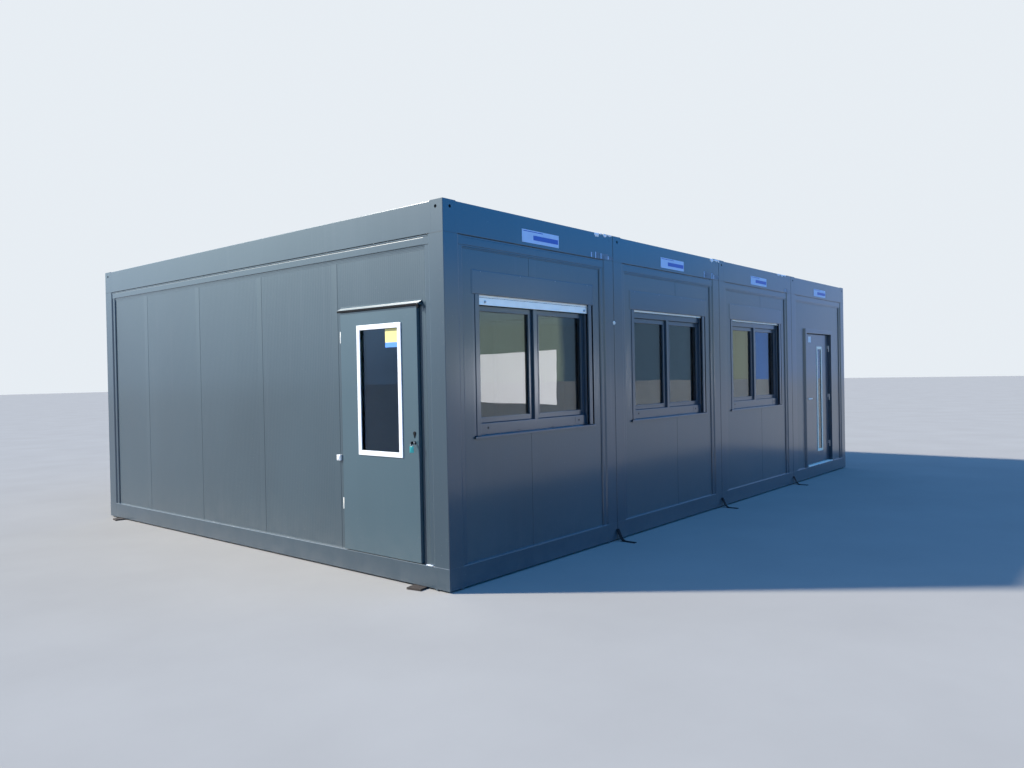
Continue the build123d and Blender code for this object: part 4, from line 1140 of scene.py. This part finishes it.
def makeFrontHandle(look, index):
    whole = bmesh.new()
    u, lever, lock = look["handle"]
    for base, out in ((look["outer"], -1), (look["inner"], 1)):
        for z in (lever, lock):
            join(whole, stub(u, z, base, base + out * 0.008, 0.022, 32, 0.0015), 0)
        join(whole, stub(u, lever, base, base + out * 0.048, 0.008, 20, 0.001), 0)
        near, far = sorted((base + out * 0.038, base + out * 0.052))
        join(whole, block((u - 0.008, near, lever - 0.009), (u + 0.160, far, lever + 0.009), 0.005, 3), 1)
        join(whole, stub(u, lock, base, base + out * 0.013, 0.009, 24, 0.001), 1)
        near, far = sorted((base + out * 0.012, base + out * 0.0138))
        join(whole, block((u - 0.0015, near, lock - 0.005), (u + 0.0015, far, lock + 0.005)), 2)
    stood(whole, "front", index)
    finished("frontDoorHandle", whole, [steelMetal, silverMetal, blackRubber], "front_door",
             ["front_door_handle"], 0.6)


makeFrames()
makeHoleShadeCups()
makeSeams()
print("stage 3: frames")
makeWalls()
print("stage 4: walls")
makeRoom()
makeRoof()
print("stage 5: room and roof")
makePlates()
makeSealant()
makeBase()
print("stage 6: plates, seals and packers")
makePanes()
makeWindowFittings()
makeShutters()
makeSlats()
print("stage 7: windows and shutters")
makeLeftDoor()
makeLeftLock()
makeLeftDoorFittings()
makeFrontDoor()
print("stage 8: doors")

# Studio: pale floor, a blue sky that is pale low down, bright behind the left end, and a key from there
studio = {
    "floor": (0.37, 0.35, 0.315), "zenith": (0.16, 0.36, 0.80), "horizon": (0.62, 0.76, 0.95),
    "skyPower": 1.0, "front": (0.02, 0.34, 1.0), "frontPower": 1.6,
    "low": ((0.72, 0.88, 0.80), (0.20, 0.32, 0.47), (0.55, 0.60, 0.45), (0.08, 0.32, 1.1)),
    "lowEdges": (-0.592, -0.43, -0.39),
    "glow": (0.80, 1.0, 1.02), "glowWay": (-0.50, 0.80, 0.38), "glowPower": 2.45, "plain": (0.80, 0.85, 0.90),
    "cardEnds": ((29.2, -33.8), (26.3, -25.0)), "cardHeight": 3.1, "cardPower": 4.6,
    "cardTone": (0.95, 0.94, 0.95),
    "keyPower": 7.0, "keyAngle": 3.0, "keyWay": (0.617, -0.787, -0.686), "keyTone": (1.0, 0.96, 0.90),
}


def staged(name, part, material):
    # A piece of the studio, which isn't part of the cabin
    mesh = bpy.data.meshes.new(name)
    part.to_mesh(mesh)
    part.free()
    mesh.materials.append(material)
    piece = bpy.data.objects.new(name, mesh)
    bpy.context.scene.collection.objects.link(piece)
    return piece


def makeFloor():
    material, tree, shader = newMaterial("paleFloor", Roughness=0.9, Specular_IOR_Level=0.0)
    patch = spread(tree, noise(tree, stretched(tree), 0.8, 6.0), 0.3, 0.7)
    tone = blend(tree, patch, solid(studio["floor"], 0.93), solid(studio["floor"]))
    tree.links.new(tone, shader.inputs["Base Color"])
    ground = bmesh.new()
    bmesh.ops.create_grid(ground, x_segments=4, y_segments=4, size=150)
    staged("studioFloor", ground, material)


def makeSky():
    world = bpy.data.worlds.new("studioSky")
    bpy.context.scene.world = world
    world.use_nodes = True
    tree = world.node_tree
    back = tree.nodes["Background"]
    way = tree.nodes.new("ShaderNodeTexCoord").outputs["Generated"]
    y, z = put(tree, "ShaderNodeSeparateXYZ", {0: way}).outputs[1:]
    tone = blend(tree, spread(tree, z, 0.0, 0.45), solid(studio["horizon"]), solid(studio["zenith"]))
    # In front, bands of plain colour low down and a deeper blue above them
    ahead = times(tree, spread(tree, y, -0.22, -0.45), spread(tree, z, 0.9, 0.5))
    low = solid(studio["low"][0])
    for edge, colour in zip(studio["lowEdges"], studio["low"][1:]):
        low = blend(tree, spread(tree, y, edge - 0.004, edge + 0.004), low, solid(colour))
    high = spread(tree, z, 0.06, 0.16)
    tone = blend(tree, ahead, tone, blend(tree, high, low, solid(studio["front"])))
    near = vectorSum(tree, "DOT_PRODUCT", way, Vector(studio["glowWay"]).normalized())["Value"]
    glow = spread(tree, near, 0.92, 1.0)
    tone = blend(tree, glow, tone, solid(studio["glow"]))
    seen = tree.nodes.new("ShaderNodeLightPath").outputs["Is Camera Ray"]
    tree.links.new(blend(tree, seen, tone, solid(studio["plain"])), back.inputs["Color"])
    power = spread(tree, glow, 0.0, 1.0, studio["skyPower"], studio["glowPower"])
    power = spread(tree, times(tree, ahead, high), 0.0, 1.0, power, studio["frontPower"])
    power = put(tree, "ShaderNodeMix", {0: seen, 2: power, 3: 1.0}).outputs[0]
    tree.links.new(power, back.inputs["Strength"])


def makeCard():
    # A long low softbox far in front, seen only in reflections
    material, tree, shader = newMaterial("softboxCloth", Emission_Strength=studio["cardPower"])
    weave = noise(tree, stretched(tree), 0.6, 3.0)
    tone = blend(tree, weave, solid(studio["cardTone"], 0.9), solid(studio["cardTone"]))
    tree.links.new(tone, shader.inputs["Emission Color"])
    first, last = studio["cardEnds"]
    card = bmesh.new()
    corners = ((*first, 0.0), (*last, 0.0), (*last, studio["cardHeight"]), (*first, studio["cardHeight"]))
    card.faces.new([card.verts.new(corner) for corner in corners])
    softbox = staged("softbox", card, material)
    for ray in ("camera", "diffuse", "transmission", "shadow"):
        setattr(softbox, f"visible_{ray}", False)


def makeKey():
    light = bpy.data.lights.new("key", "SUN")
    light.energy = studio["keyPower"]
    light.angle = math.radians(studio["keyAngle"])
    light.color = studio["keyTone"]
    lamp = bpy.data.objects.new("key", light)
    lamp.rotation_mode = "QUATERNION"
    lamp.rotation_quaternion = Vector(studio["keyWay"]).to_track_quat("-Z", "Y")
    bpy.context.scene.collection.objects.link(lamp)
    bpy.context.scene.view_settings.view_transform = "Standard"


# The camera stands where the photograph was taken from
viewpoint = {
    "place": (-9.26705, -7.38178, 1.70503),
    "yaw": 0.873,
    "pitch": -0.01077,
    "roll": -0.01889,
    "lens": 27.703,
}


def makeCamera():
    yaw, pitch, roll = viewpoint["yaw"], viewpoint["pitch"], viewpoint["roll"]
    ahead = Vector((math.sin(yaw) * math.cos(pitch), math.cos(yaw) * math.cos(pitch), math.sin(pitch)))
    right = Vector((math.cos(yaw), -math.sin(yaw), 0))
    up = right.cross(ahead)
    turnedRight = math.cos(roll) * right + math.sin(roll) * up
    turnedUp = math.cos(roll) * up - math.sin(roll) * right
    data = bpy.data.cameras.new("camera")
    data.lens = viewpoint["lens"]
    data.sensor_width = 36
    data.clip_end = 500
    camera = bpy.data.objects.new("camera", data)
    axes = Matrix((turnedRight, turnedUp, -ahead)).transposed().to_4x4()
    camera.matrix_world = Matrix.Translation(viewpoint["place"]) @ axes
    bpy.context.scene.collection.objects.link(camera)
    bpy.context.scene.camera = camera


makeFloor()
makeSky()
makeCard()
makeKey()
makeCamera()
print("stage 9: studio and camera")
